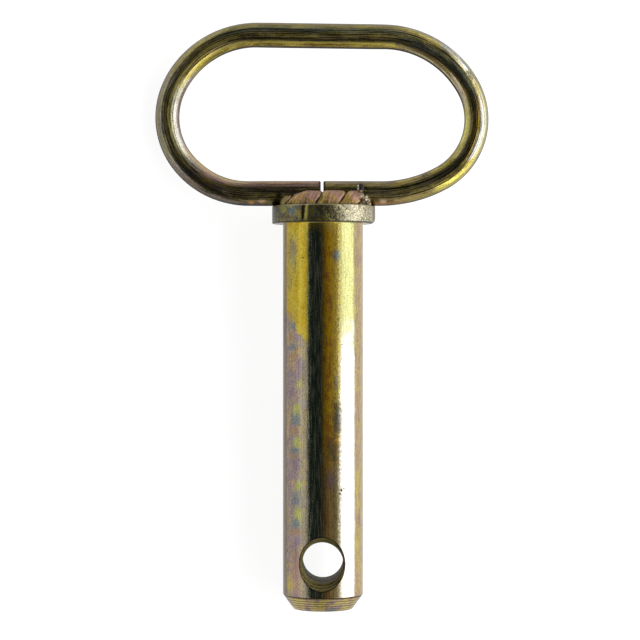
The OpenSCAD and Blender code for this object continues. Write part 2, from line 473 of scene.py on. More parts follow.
def make_loop_handle():
    plan = loop_plan()
    left_run, left, top_run, right_run, right = plan
    right_end = GAP_X + GAP / 2
    deselect_all()
    bpy.ops.mesh.primitive_circle_add(
        vertices=BAR_SIDES, radius=BAR_R - END_BREAK, fill_type="NGON",
        location=(right_end, 0, BAR_Z), rotation=(0, math.pi / 2, 0))
    bar = bpy.context.object
    bar.name = bar.data.name = "loop_handle_finished"
    deselect_all()
    bar.select_set(True)
    bpy.ops.object.transform_apply(location=True, rotation=True)
    edit(bar)
    bpy.ops.mesh.select_all(action="SELECT")
    break_end(right_end, (0.0, 0.35, 0.7, 1.0), opening=True)
    heading = 0.0
    at = Vector((right_end + END_BREAK, 0, BAR_Z))
    at = sweep_straight(right_run - GAP / 2 - END_BREAK, heading, at, STRAIGHT_STEP)
    for radius, angle in right:
        at, heading = sweep_bend(radius, angle, heading, at)
    at = sweep_straight(top_run, heading, at, TOP_RUN_STEP)
    for radius, angle in reversed(left):
        at, heading = sweep_bend(radius, angle, heading, at)
    at = sweep_straight(left_run - GAP / 2 - END_BREAK, heading, at, STRAIGHT_STEP)
    break_end(at.x, (1.0, 0.7, 0.35, 0.0), opening=False)
    end_edit()
    points = points_of(bar)
    line, draws = centre_line(*plan)
    straight, nearest_at, draw = unbend(points, line, blur(draws, DRAW_BLUR))
    points = nearest_at + (points - nearest_at) * (1 - draw * DRAW_DOWN / BAR_R)[:, None]
    pit_bar(points)
    set_points(bar, points)
    unbent = bar.data.attributes.new("unbent", "FLOAT_VECTOR", "POINT")
    unbent.data.foreach_set("vector", straight.ravel())
    lay_down(bar)
    return bar


# ---- The welds ---------------------------------------------------------------------------------

BEAD_SIDES = 72
BEAD_STEP = 0.2 * MM
STITCH_SLANT = 0.85
SINK = 0.4 * MM


def slow_noise(points, seed, count, shortest, longest):
    """A smooth random height for each point, from a few sine waves."""
    rng = np.random.default_rng(seed)
    height = np.zeros(len(points))
    for _ in range(count):
        way = rng.normal(size=3)
        way /= np.linalg.norm(way)
        length = rng.uniform(shortest, longest)
        height += np.sin(points @ way * math.tau / length + rng.uniform(0, math.tau))
    return height / math.sqrt(count)


def merge_points(obj):
    """Merges the points that fell together and drops the empty faces between them."""
    edit(obj)
    bpy.ops.mesh.select_all(action="SELECT")
    bpy.ops.mesh.remove_doubles(threshold=0.002 * MM)
    bpy.ops.mesh.select_all(action="SELECT")
    bpy.ops.mesh.dissolve_degenerate(threshold=0.001 * MM)
    bpy.ops.mesh.select_all(action="SELECT")
    bpy.ops.mesh.delete_loose(use_verts=True, use_edges=True, use_faces=False)
    end_edit()


def make_bead(name, starts, legs, rough_from, seed):
    """A fillet bead along X on the bar's -Y side, from the starts of its stitches and their legs."""
    first, last = starts[0], starts[-1]
    deselect_all()
    bpy.ops.mesh.primitive_circle_add(
        vertices=BEAD_SIDES, radius=1 * MM, fill_type="NGON",
        location=(first, -BAR_R, HEAD_T), rotation=(0, math.pi / 2, 0))
    bead = bpy.context.object
    bead.name = bead.data.name = name
    deselect_all()
    bead.select_set(True)
    bpy.ops.object.transform_apply(location=True, rotation=True)
    edit(bead)
    bpy.ops.mesh.select_all(action="SELECT")
    sweep_straight(last - first, 0.0, Vector((first, -BAR_R, HEAD_T)), BEAD_STEP)
    end_edit()
    points = points_of(bead)
    x = points[:, 0].copy()
    out, up = -(points[:, 1] + BAR_R), points[:, 2] - HEAD_T
    on_end = np.minimum(x - first, last - x)
    angle, leaned = leaned_place(x, out, up, first, last)
    starts, legs = np.array(starts), np.array(legs)
    stitch = np.clip(np.searchsorted(starts, leaned, side="right") - 1, 0, len(legs) - 1)
    begin, end = starts[stitch], starts[stitch + 1]
    t = (leaned - begin) / (end - begin)
    middles = (starts[1:] + starts[:-1]) / 2
    leg = np.interp(leaned, middles, legs)
    gaps = np.abs(leaned[:, None] - starts[None, 1:-1])
    nearest = gaps.min(1)
    radius = leg * (1 - 0.13 * np.exp(-(nearest / (0.42 * MM)) ** 2))
    radius *= 1 + 0.06 * np.sin(np.pi * np.clip(t, 0, 1)) - 0.05 * t
    ripples = 0.07 * MM * np.sin((leaned / (0.85 * MM) + 0.5 * np.abs(angle - 0.9)) * math.tau)
    radius += ripples + 0.06 * MM * slow_noise(points * [1, 0, 0] + np.column_stack(
        [x * 0, out, up]) * 2.5, seed, 12, 1.6 * MM, 4.5 * MM)
    # The bead tapers round at both ends, and its last stretch is pitted and spiky
    taper = np.clip(on_end / (2.2 * MM), 0, 1)
    radius *= 0.12 + 0.88 * np.sqrt(1 - (1 - taper) ** 2)
    place = np.column_stack([x, out / (1 * MM) * radius, up / (1 * MM) * radius])
    pitted = smoothstep(rough_from, rough_from + 1.2 * MM, x)
    radius += pitted * 0.16 * MM * slow_noise(place, seed + 1, 16, 0.7 * MM, 1.5 * MM)
    points[:, 1] = -BAR_R - out / (1 * MM) * radius
    points[:, 2] = np.maximum(HEAD_T + up / (1 * MM) * radius, HEAD_T - SINK)
    # Under the bar the metal stops short of its middle
    points[:, 1] = np.minimum(points[:, 1], -0.9 * MM)
    # Nothing hangs over the head's rim
    from_axis = np.hypot(points[:, 0], points[:, 1])
    low = points[:, 2] < HEAD_T + 0.05 * MM
    shrink = np.where(low & (from_axis > HEAD_R - 0.4 * MM), (HEAD_R - 0.4 * MM) / from_axis, 1.0)
    points[:, 0] *= shrink
    points[:, 1] *= shrink
    set_points(bead, points)
    merge_points(bead)
    return bead


def delete_flaps(obj):
    """Deletes the pairs of faces that lie back to back on the same points."""
    mesh = obj.data
    corners = [tuple(sorted(face.vertices)) for face in mesh.polygons]
    uses = Counter(corners)
    edit(obj)
    bpy.ops.mesh.select_all(action="DESELECT")
    end_edit()
    mesh.polygons.foreach_set("select", [uses[key] > 1 for key in corners])
    if max(uses.values()) > 1:
        edit(obj)
        bpy.ops.mesh.select_mode(type="FACE")
        bpy.ops.mesh.delete(type="FACE")
        bpy.ops.mesh.select_mode(type="VERT")
        end_edit()


def leaned_place(x, out, up, first, last):
    """Where along the bead a place belongs, each stitch leaning as it goes up the bar."""
    angle = np.arctan2(up, out)
    lean = STITCH_SLANT * 3.2 * MM * (np.sin(np.clip(angle, 0, math.pi / 2)) - 0.5)
    on_end = np.clip(np.minimum(x - first, last - x), 0, None)
    return angle, np.clip(x - lean * smoothstep(0, 2.5 * MM, on_end), first, last - 1e-6)


def mark_stitches(weld, starts):
    """Stores, at each point, how far through its stitch it is, how steep, and how near a seam."""
    points = points_of(weld)
    starts = np.array(starts)
    angle, leaned = leaned_place(points[:, 0], -(points[:, 1] + BAR_R), points[:, 2] - HEAD_T,
                                 starts[0], starts[-1])
    stitch = np.clip(np.searchsorted(starts, leaned, side="right") - 1, 0, len(starts) - 2)
    through = (leaned - starts[stitch]) / (starts[stitch + 1] - starts[stitch])
    seam = np.abs(leaned[:, None] - starts[None, 1:-1]).min(1) / MM
    frozen = weld.data.attributes.new("frozen", "FLOAT_VECTOR", "POINT")
    frozen.data.foreach_set("vector", np.column_stack(
        [through, np.clip(angle / (math.pi / 2), 0, 1), seam]).ravel())


def add_drop(weld, centre, half_sizes):
    """Joins a drop of weld metal onto a bead."""
    deselect_all()
    bpy.ops.mesh.primitive_ico_sphere_add(subdivisions=4, radius=1, location=centre, scale=half_sizes)
    drop = bpy.context.object
    deselect_all()
    drop.select_set(True)
    bpy.ops.object.transform_apply(location=True, scale=True)
    points = points_of(drop)
    middle = np.array(centre)
    swell = 1 + 0.06 * slow_noise(points, 5, 6, 0.8 * MM, 1.8 * MM)
    set_points(drop, middle + (points - middle) * swell[:, None])
    weld_on = weld.modifiers.new("weld_on", "BOOLEAN")
    weld_on.operation = "UNION"
    weld_on.solver = "EXACT"
    weld_on.object = drop
    apply_modifiers(weld)
    bpy.data.objects.remove(drop)
    merge_points(weld)
    delete_flaps(weld)


def make_front_weld():
    starts = [v * MM for v in (-13.6, -10.9, -1.3, 6.2, 12.3, 15.3)]
    legs = [v * MM for v in (3.0, 4.75, 4.8, 4.55, 3.4)]
    weld = make_bead("front_weld_finished", starts, legs, 11.4 * MM, 3)
    add_drop(weld, SPATTER_AT, (1.2 * MM, 0.8 * MM, 1.35 * MM))
    add_drop(weld, Vector((14.2 * MM, -5.9 * MM, 7.4 * MM)), (0.8 * MM, 0.7 * MM, 0.55 * MM))
    add_drop(weld, Vector((12.2 * MM, -7.25 * MM, 7.6 * MM)), (0.7 * MM, 0.6 * MM, 0.5 * MM))
    mark_stitches(weld, starts)
    lay_down(weld)
    return weld


def make_rear_weld():
    starts = [v * MM for v in (-13.8, -8.4, -3.0, 2.6, 8.2, 13.8)]
    legs = [v * MM for v in (4.1, 4.7, 4.6, 4.8, 4.0)]
    weld = make_bead("rear_weld_finished", starts, legs, 20 * MM, 8)
    mark_stitches(weld, starts)
    weld.data.transform(Matrix.Rotation(math.pi, 4, "Z"))
    lay_down(weld)
    return weld


# ---- Shader groups -----------------------------------------------------------------------------

def new_group(name, inputs, outputs):
    group = bpy.data.node_groups.new(name, "ShaderNodeTree")
    for socket_name, kind, value in inputs:
        socket = group.interface.new_socket(socket_name, in_out="INPUT", socket_type=kind)
        if value is not None:
            socket.default_value = value
    for socket_name, kind in outputs:
        group.interface.new_socket(socket_name, in_out="OUTPUT", socket_type=kind)
    start = group.nodes.new("NodeGroupInput")
    end = group.nodes.new("NodeGroupOutput")
    return group, start, end


def put(tree, kind, settings=None, **inputs):
    """A node of that kind, with its properties set, and its inputs set or linked by name."""
    made = tree.nodes.new(kind)
    for key, value in (settings or {}).items():
        setattr(made, key, value)
    for key, value in inputs.items():
        wire(tree, value, made.inputs[key.replace("_", " ")])
    return made


def wire(tree, value, socket):
    if isinstance(value, bpy.types.NodeSocket):
        tree.links.new(value, socket)
    else:
        socket.default_value = value


def maths(tree, operation, first, second=0.0, clamp=False):
    made = tree.nodes.new("ShaderNodeMath")
    made.operation = operation
    made.use_clamp = clamp
    wire(tree, first, made.inputs[0])
    wire(tree, second, made.inputs[1])
    return made.outputs[0]


def times(tree, first, second):
    return maths(tree, "MULTIPLY", first, second)


def plus(tree, first, second):
    return maths(tree, "ADD", first, second)


def minus(tree, first, second):
    return maths(tree, "SUBTRACT", first, second)


def larger(tree, first, second):
    return maths(tree, "MAXIMUM", first, second)


def smaller(tree, first, second):
    return maths(tree, "MINIMUM", first, second)


def absolute(tree, value):
    return maths(tree, "ABSOLUTE", value)


def noise(tree, vector, scale, detail=3.0, roughness=0.5, distortion=0.0):
    made = put(tree, "ShaderNodeTexNoise", Vector=vector, Scale=scale, Detail=detail,
               Roughness=roughness, Distortion=distortion)
    return made.outputs["Fac"]


def between(tree, value, low, high, to_low=0.0, to_high=1.0):
    """Eases from to_low to to_high as the value goes from low to high."""
    made = tree.nodes.new("ShaderNodeMapRange")
    made.interpolation_type = "SMOOTHSTEP"
    wire(tree, value, made.inputs["Value"])
    wire(tree, low, made.inputs["From Min"])
    wire(tree, high, made.inputs["From Max"])
    wire(tree, to_low, made.inputs["To Min"])
    wire(tree, to_high, made.inputs["To Max"])
    return made.outputs["Result"]


def falling(tree, value, low, high):
    """1 below low, easing to 0 above high."""
    return between(tree, value, low, high, 1.0, 0.0)


def mix(tree, amount, first, second):
    made = tree.nodes.new("ShaderNodeMix")
    made.data_type = "RGBA"
    wire(tree, amount, made.inputs[0])
    wire(tree, first, made.inputs[6])
    wire(tree, second, made.inputs[7])
    return made.outputs[2]


def cover(tree, under, over, mask, strength):
    """One colour laid over another where the mask is, at that strength."""
    return mix(tree, times(tree, mask, strength), under, over)


def ramp(tree, value, stops):
    made = tree.nodes.new("ShaderNodeValToRGB")
    elements = made.color_ramp.elements
    while len(elements) < len(stops):
        elements.new(0.5)
    for element, (place, colour) in zip(elements, stops):
        element.position = place
        element.color = (*colour[:3], 1)
    wire(tree, value, made.inputs[0])
    return made.outputs[0]


# Colours of a yellow chromate film as it thickens, in linear values
FILM_COLOURS = [
    (0.00, (0.70, 0.62, 0.30)),
    (0.16, (0.66, 0.52, 0.13)),
    (0.32, (0.48, 0.38, 0.10)),
    (0.46, (0.42, 0.33, 0.18)),
    (0.60, (0.44, 0.31, 0.27)),
    (0.74, (0.34, 0.31, 0.33)),
    (0.86, (0.27, 0.30, 0.25)),
    (1.00, (0.40, 0.38, 0.14)),
]


def make_film_group():
    """Patches of passivation film: their colour, from a base thickness."""
    group, start, end = new_group(
        "passivation_film",
        [("Vector", "NodeSocketVector", None), ("Thickness", "NodeSocketFloat", 0.3),
         ("Spread", "NodeSocketFloat", 0.4), ("Patch Scale", "NodeSocketFloat", 150.0)],
        [("Colour", "NodeSocketColor")])
    vector = start.outputs["Vector"]
    broad = noise(group, vector, start.outputs["Patch Scale"], 2.0, 0.5, 0.6)
    fine_scale = times(group, start.outputs["Patch Scale"], 5.3)
    fine = noise(group, vector, fine_scale, 4.0, 0.65, 0.3)
    both = plus(group, times(group, broad, 1.5), times(group, fine, 0.9))
    centred = minus(group, both, 1.2)
    spread = times(group, centred, start.outputs["Spread"])
    film = maths(group, "ADD", start.outputs["Thickness"], spread, clamp=True)
    group.links.new(ramp(group, film, FILM_COLOURS), end.inputs["Colour"])
    return group


def make_lines_group():
    """Fine lines left by drawing or turning, long along the vector's X."""
    group, start, end = new_group(
        "tool_lines",
        [("Vector", "NodeSocketVector", None), ("Fineness", "NodeSocketFloat", 2500.0),
         ("Stretch", "NodeSocketFloat", 0.02)],
        [("Height", "NodeSocketFloat")])
    stretch = put(group, "ShaderNodeCombineXYZ", X=start.outputs["Stretch"], Y=1.0, Z=1.0)
    squeezed = put(group, "ShaderNodeVectorMath", {"operation": "MULTIPLY"})
    group.links.new(start.outputs["Vector"], squeezed.inputs[0])
    group.links.new(stretch.outputs[0], squeezed.inputs[1])
    lines = noise(group, squeezed.outputs[0], start.outputs["Fineness"], 3.0, 0.6)
    group.links.new(lines, end.inputs["Height"])
    return group


def make_pits_group():
    """Small pits and specks scattered over a surface."""
    group, start, end = new_group(
        "pits",
        [("Vector", "NodeSocketVector", None), ("Scale", "NodeSocketFloat", 900.0),
         ("Amount", "NodeSocketFloat", 0.2)],
        [("Height", "NodeSocketFloat"), ("Mask", "NodeSocketFloat")])
    cells = put(group, "ShaderNodeTexVoronoi", Vector=start.outputs["Vector"],
                Scale=start.outputs["Scale"], Randomness=1.0)
    choice = noise(group, start.outputs["Vector"], times(group, start.outputs["Scale"], 0.35), 2.0)
    near = falling(group, cells.outputs["Distance"], 0.12, 0.34)
    chosen = between(group, choice, minus(group, 0.66, start.outputs["Amount"]),
                     minus(group, 0.74, start.outputs["Amount"]))
    mask = times(group, near, chosen)
    group.links.new(mask, end.inputs["Mask"])
    group.links.new(times(group, mask, -1.0), end.inputs["Height"])
    return group


def use_group(tree, group, **inputs):
    made = tree.nodes.new("ShaderNodeGroup")
    made.node_tree = group
    for key, value in inputs.items():
        wire(tree, value, made.inputs[key.replace("_", " ")])
    return made


# ---- Materials ---------------------------------------------------------------------------------

# Colours of the passivation film, in linear values; straw, silver and rose silver are painted highlight
# colours
GOLD = (0.62, 0.48, 0.06, 1)
DEEP_GOLD = (0.52, 0.36, 0.02, 1)
AMBER = (0.78, 0.47, 0.015, 1)
RUST = (0.50, 0.22, 0.03, 1)
OLIVE = (0.30, 0.27, 0.06, 1)
DARK_SLATE = (0.07, 0.09, 0.08, 1)
HIGHLIGHT_STRAW = (0.53, 0.52, 0.22, 1)
HIGHLIGHT_SILVER = (0.96, 0.95, 0.88, 1)
HIGHLIGHT_ROSE = (0.96, 0.84, 0.74, 1)
MAUVE = (0.27, 0.20, 0.19, 1)
LILAC = (0.29, 0.22, 0.27, 1)
PEACH = (0.44, 0.28, 0.14, 1)
PINK = (0.42, 0.26, 0.22, 1)
SLATE = (0.20, 0.25, 0.25, 1)
LIME = (0.46, 0.50, 0.12, 1)
TAN = (0.22, 0.16, 0.09, 1)
NEAR_BLACK = (0.02, 0.018, 0.015, 1)
DEEP_BLACK = (0.02, 0.02, 0.01, 1)
DARK_EDGE = (0.05, 0.04, 0.02, 1)
PIT_DARK = (0.04, 0.03, 0.02, 1)
SMOKE = (0.12, 0.10, 0.04, 1)
GREY_OLIVE = (0.30, 0.28, 0.14, 1)
YELLOW_GOLD = (0.72, 0.60, 0.12, 1)


def new_material(name):
    material = bpy.data.materials.new(name)
    material.use_nodes = True
    tree = material.node_tree
    shader = tree.nodes["Principled BSDF"]
    return material, tree, shader


def upright_place(tree):
    """Places on the upright pin, from the object's own coordinates: X across, Y back, Z to the head."""
    coordinates = tree.nodes.new("ShaderNodeTexCoord")
    turn = put(tree, "ShaderNodeMapping", Vector=coordinates.outputs["Object"],
               Rotation=(math.pi / 2 - LIE_ANGLE, 0, ROLL_ANGLE))
    return turn.outputs["Vector"]


def split(tree, vector):
    made = put(tree, "ShaderNodeSeparateXYZ", Vector=vector)
    return made.outputs[0], made.outputs[1], made.outputs[2]


def join(tree, x, y, z):
    return put(tree, "ShaderNodeCombineXYZ", X=x, Y=y, Z=z).outputs[0]


def length_of(tree, vector):
    made = put(tree, "ShaderNodeVectorMath", {"operation": "LENGTH"})
    tree.links.new(vector, made.inputs[0])
    return made.outputs["Value"]


def bump(tree, height, distance):
    return put(tree, "ShaderNodeBump", Height=height, Distance=distance, Strength=1.0).outputs[0]


def total(tree, *parts):
    """The sum of (value, weight) pairs."""
    summed = None
    for value, weight in parts:
        part = times(tree, value, weight)
        summed = part if summed is None else plus(tree, summed, part)
    return summed


def shaded(tree, colour, level):
    """A colour made lighter or darker by a level round 1."""
    made = put(tree, "ShaderNodeVectorMath", {"operation": "SCALE"}, Scale=level)
    tree.links.new(colour, made.inputs[0])
    return made.outputs[0]


def spot(tree, u, s, ragged, at, half):
    """A ragged patch round a place (across, along) with those half sizes."""
    across = maths(tree, "DIVIDE", minus(tree, u, at[0]), half[0])
    along = maths(tree, "DIVIDE", minus(tree, s, at[1]), half[1])
    away = maths(tree, "SQRT", plus(tree, times(tree, across, across), times(tree, along, along)))
    return falling(tree, plus(tree, away, ragged), 0.25, 1.5)


def band(tree, value, low, high, soft):
    """1 between low and high, with soft edges."""
    return times(tree, between(tree, value, low - soft, low + soft),
                 falling(tree, value, high - soft, high + soft))


# Patches of film on the shank: colour, strength, and where, in mm: across the front, along from
# the seat face, half width and half height
SHANK_PATCHES = [
    (GREY_OLIVE, 0.80, -9.6, -9.5, 2.3, 5.2),
    (MAUVE, 0.50, -9.7, -7.2, 1.4, 2.4),
    (GREY_OLIVE, 0.60, -10.4, -18.6, 1.3, 2.4),
    (PEACH, 0.80, -9.9, -29.5, 1.1, 1.4),
    (SLATE, 0.90, -9.4, -32.4, 1.3, 1.7),
    (PEACH, 0.75, -9.9, -36.0, 1.3, 1.2),
    (SLATE, 0.90, -9.5, -39.0, 1.5, 1.6),
    (PEACH, 0.90, -9.4, -42.0, 2.0, 1.3),
    (LILAC, 0.80, -7.6, -45.5, 1.9, 3.2),
    (LIME, 0.60, -7.6, -50.5, 1.3, 1.5),
    (LILAC, 0.90, -9.6, -53.2, 1.7, 2.0),
    (LIME, 0.85, -8.3, -58.6, 1.5, 2.5),
    (SLATE, 0.95, -8.8, -61.9, 2.1, 1.9),
    (PEACH, 0.90, -9.3, -65.2, 1.9, 1.3),
    (LIME, 0.85, -8.2, -69.0, 1.5, 2.0),
    (SLATE, 0.95, -9.0, -71.6, 2.3, 1.7),
    (PEACH, 0.85, -9.0, -73.3, 2.2, 1.0),
    (LILAC, 0.90, -8.6, -76.2, 2.5, 2.6),
    (LIME, 0.85, -7.7, -82.4, 1.4, 1.8),
    (SLATE, 0.75, -8.4, -86.4, 2.3, 2.6),
    (LIME, 0.90, -8.0, -91.4, 1.6, 2.7),
    (SLATE, 0.95, -8.8, -94.6, 2.1, 2.0),
    (PEACH, 0.70, -8.8, -97.0, 2.4, 1.4),
    (LILAC, 0.70, -8.2, -100.0, 2.0, 2.0),
    (PINK, 0.80, -8.2, -108.0, 2.2, 5.0),
    (GOLD, 0.70, -10.6, -114.0, 1.5, 3.0),
    (PINK, 0.80, -8.0, -115.5, 1.2, 2.6),
    (SLATE, 0.90, 4.2, -10.4, 1.2, 2.0),
    (DARK_SLATE, 0.90, 4.3, -61.5, 1.6, 6.0),
    (DARK_SLATE, 0.65, 3.0, -71.0, 1.9, 4.0),
    (SLATE, 0.60, 4.0, -50.0, 0.8, 2.4),
    (MAUVE, 0.70, 2.6, -80.5, 1.9, 3.0),
    (YELLOW_GOLD, 0.80, 10.8, -84.0, 0.8, 9.0),
    (YELLOW_GOLD, 0.75, 10.9, -102.0, 0.8, 7.0),
    (MAUVE, 0.60, 11.4, -93.0, 0.8, 3.0),
]

# Tones of the shank's mottled left band, the turned tip, the bore and the head's dark left half
LEFT_TONES = [(0.30, SLATE), (0.40, LILAC), (0.47, MAUVE), (0.53, (0.34, 0.28, 0.20)), (0.60, PEACH),
              (0.70, OLIVE)]
TIP_TONES = [(0.34, (0.24, 0.25, 0.25)), (0.42, (0.46, 0.31, 0.25)), (0.50, (0.58, 0.45, 0.19)),
             (0.62, (0.66, 0.54, 0.14))]
BORE_TONES = [(0.40, (0.02, 0.02, 0.01)), (0.46, (0.36, 0.29, 0.08)), (0.52, (0.10, 0.09, 0.03)),
              (0.57, (0.55, 0.42, 0.12)), (0.64, (0.22, 0.21, 0.12))]
HEAD_TONES = [(0.38, (0.04, 0.06, 0.07)), (0.45, (0.17, 0.14, 0.07)), (0.50, (0.12, 0.11, 0.07)),
              (0.56, (0.34, 0.30, 0.05)), (0.62, (0.10, 0.13, 0.14))]

# Dark nicks in the shank, in mm: across the front, along, half width and half height
NICKS = [
    (5.7, -83.7, 0.40, 0.50), (6.5, -83.2, 0.28, 0.30), (5.2, -84.8, 0.30, 0.35),
    (-11.25, -103.2, 0.16, 0.55), (-11.1, -106.8, 0.16, 0.5), (-11.1, -108.8, 0.14, 0.4),
    (-11.4, -115.8, 0.2, 0.25), (7.0, -118.0, 0.25, 0.12), (5.9, -38.2, 0.16, 0.14), (-6.2, -11.0, 0.2, 0.3),
]

# Patches on the head's rim: colour, and where, in mm: across, up from the seat face, half sizes
HEAD_SPOTS = [
    ((0.10, 0.16, 0.22, 1), -9.6, 3.6, 1.2, 1.4), ((0.30, 0.28, 0.06, 1), -12.4, 4.2, 0.8, 1.0),
    ((0.32, 0.26, 0.04, 1), -7.3, 2.4, 0.6, 1.6), ((0.05, 0.06, 0.05, 1), -15.0, 3.0, 1.2, 2.0),
    ((0.14, 0.10, 0.06, 1), -11.6, 1.4, 1.6, 0.8),
]


def round_to_front(across_mm):
    """How far round the shank's surface a place seen from the front is, in metres."""
    return SHANK_R * math.asin(across_mm * MM / SHANK_R)


def shank_colours(tree, place, u, s, mottle, streak, dots):
    """The film's colours round the shank, with painted highlight, painted reflection and painted edge shade
    among them, from u, the way round from the front, and s, along it.
    """
    ragged = total(tree, (minus(tree, noise(tree, place, 900.0, 4.0, 0.65), 0.5), 1.7), (dots, 1.8))
    wavy = minus(tree, noise(tree, place, 330.0, 3.0, 0.6), 0.5)
    u_wavy = total(tree, (u, 1.0), (wavy, 1.6 * MM), (streak, 0.5 * MM))
    # The left band: mottled, with its tones by a broad noise and a fine one
    tones = ramp(tree, mottle, LEFT_TONES)
    tones = shaded(tree, tones, 1.25)
    by_front = band(tree, u_wavy, -7.6 * MM, -5.0 * MM, 0.7 * MM)
    tones = cover(tree, tones, (0.44, 0.41, 0.2, 1), by_front, 0.5)
    # Clear gold under the head, down to a slanting line
    line = total(tree, (u, -0.95), (ragged, 1.1 * MM), (wavy, 9 * MM))
    golden = between(tree, plus(tree, s, times(tree, line, -1.0)), -0.0435, -0.0405)
    gold = mix(tree, between(tree, total(tree, (streak, 1.0), (wavy, 1.0)), -0.1, 0.16), GOLD, DEEP_GOLD)
    colour = mix(tree, golden, tones, gold)
    # The dark front, then the amber zone beside it
    front = between(tree, u_wavy, -5.2 * MM, -4.2 * MM)
    colour = mix(tree, front, colour, mix(tree, between(tree, streak, -0.05, 0.14),
                                         (0.13, 0.20, 0.13, 1), (0.55, 0.58, 0.40, 1)))
    amber = mix(tree, between(tree, total(tree, (streak, 1.0), (wavy, 0.9)), -0.07, 0.14), AMBER, RUST)
    sooty_streaks = between(tree, total(tree, (streak, 1.0), (dots, 0.5)), 0.07, 0.16)
    amber = cover(tree, amber, SMOKE, sooty_streaks, 0.6)
    browned = between(tree, total(tree, (s, 1.0), (wavy, 0.03)), -0.066, -0.085)
    brown = mix(tree, between(tree, total(tree, (streak, 1.0), (wavy, 0.5)), -0.05, 0.1),
                (0.30, 0.15, 0.09, 1), (0.40, 0.30, 0.10, 1))
    amber = cover(tree, amber, brown, browned, 0.8)
    colour = mix(tree, between(tree, u_wavy, -1.2 * MM, 0.6 * MM), colour, amber)
    brassy = times(tree, between(tree, u_wavy, 2.6 * MM, 4.2 * MM),
                   between(tree, total(tree, (s, 1.0), (ragged, 0.004)), -0.062, -0.054))
    colour = cover(tree, colour, (0.6, 0.48, 0.1, 1), brassy, 0.8)
    smoky = times(tree, between(tree, u_wavy, 2.8 * MM, 3.8 * MM),
                  falling(tree, total(tree, (s, 1.0), (wavy, 0.02)), -0.074, -0.068))
    colour = cover(tree, colour, (0.26, 0.23, 0.11, 1), smoky, 0.8)
    # Painted highlight along the right, where the right lamp mirrors in the metal: silver, straw yellow
    # nearer the head and rose nearer the tip
    right = between(tree, total(tree, (u, 1.0), (ragged, 1.6 * MM), (wavy, 1.2 * MM)),
                    4.6 * MM, 6.4 * MM)
    painted_highlight = mix(tree, between(tree, total(tree, (s, 1.0), (wavy, 0.02), (ragged, 0.004)), -0.026, -0.048),
               HIGHLIGHT_STRAW, HIGHLIGHT_SILVER)
    painted_highlight = mix(tree, between(tree, s, -0.102, -0.112), painted_highlight, HIGHLIGHT_ROSE)
    colour = mix(tree, right, colour, painted_highlight)
    grainy = times(tree, band(tree, u, 4.3 * MM, 6.0 * MM, 0.5 * MM), between(tree, dots, 0.0, 0.05))
    colour = cover(tree, colour, SMOKE, grainy, 0.75)
    # Painted shade: a darker tan-to-gold strip towards the right silhouette
    edge = between(tree, total(tree, (u, 1.0), (wavy, 1.0 * MM)), 10.9 * MM, 11.9 * MM)
    edge_shade_tone = mix(tree, between(tree, mottle, 0.42, 0.6), (0.56, 0.40, 0.27, 1), (0.66, 0.52, 0.20, 1))
    colour = mix(tree, edge, colour, edge_shade_tone)
    for tone, strength, across, along, half_across, half_along in SHANK_PATCHES:
        mask = spot(tree, u, s, ragged, (round_to_front(across), along * MM),
                    (half_across * MM, half_along * MM))
        colour = cover(tree, colour, tone, mask, strength)
    # Painted reflection of the head's gold underside, across the front of the shank just under the head
    head_reflection = between(tree, total(tree, (s, 1.0), (ragged, 0.0012)), -0.0035, -0.0005)
    head_reflection = times(tree, head_reflection, band(tree, u, -5.5 * MM, 4.0 * MM, 0.5 * MM))
    colour = cover(tree, colour, (0.85, 0.66, 0.12, 1), head_reflection, 0.7)
    # Painted shade: the far left edge, towards the silhouette, is darkened to tan, with a dark stretch on it
    # under the gold
    left_edge_shade = falling(tree, total(tree, (u, 1.0), (wavy, 1.0 * MM)), -14.9 * MM, -13.7 * MM)
    colour = cover(tree, colour, TAN, left_edge_shade, 0.85)
    dark_stretch = spot(tree, u, s, ragged, (-18.3 * MM, -31 * MM), (2.9 * MM, 9 * MM))
    return cover(tree, colour, NEAR_BLACK, dark_stretch, 0.85)


def nick_mask(tree, u, s):
    """The dark nicks in the shank."""
    summed = None
    for across, along, half_across, half_along in NICKS:
        mask = spot(tree, u, s, 0.0, (round_to_front(across), along * MM),
                    (half_across * MM, half_along * MM))
        summed = mask if summed is None else larger(tree, summed, mask)
    return summed


def tip_colours(tree, place, z, radius, dots):
    """The turned tip's colours, and the dark rings on it."""
    ring = maths(tree, "SINE", times(tree, total(tree, (z, 1.0), (radius, 1.1)), 4500.0))
    ring = plus(tree, ring, times(tree, noise(tree, join(tree, 0.0, radius, z), 1500.0), 2.0))
    ring = plus(tree, ring, times(tree, dots, 2.0))
    rings = between(tree, ring, 1.45, 1.9)
    tones = ramp(tree, noise(tree, place, 300.0, 3.0, 0.6, 0.5), TIP_TONES)
    tones = shaded(tree, tones, plus(tree, times(tree, dots, 1.6), 1.0))
    tones = cover(tree, tones, (0.05, 0.035, 0.02, 1), rings, 0.85)
    chamfer_z = CHAMFER_L - SHANK_L
    turned_edge = band(tree, z, chamfer_z - 0.42 * MM, chamfer_z + 0.05 * MM, 0.06 * MM)
    return mix(tree, turned_edge, tones, (0.06, 0.04, 0.02, 1)), rings


def bore_colours(tree, place, depth, dots):
    """The drilled bore's dark olive and bronze rings, with painted shade deeper in: their colours and their
    height.
    """
    drilled = noise(tree, join(tree, 0.0, depth, 0.0), 1500.0, 2.0, 0.7)
    drilled = total(tree, (drilled, 1.0), (dots, 0.25), (noise(tree, place, 450.0, 2.0), 0.35))
    drilled = minus(tree, drilled, 0.175)
    tones = ramp(tree, drilled, BORE_TONES)
    # Painted shade: darker deeper inside the bore, keeping its gold rings
    deep_shade = between(tree, depth, 9.5 * MM, 7.0 * MM)
    deep_shade_tone = mix(tree, between(tree, drilled, 0.5, 0.56),
                    (0.03, 0.03, 0.015, 1), (0.3, 0.24, 0.05, 1))
    return cover(tree, tones, deep_shade_tone, deep_shade, 0.6), drilled


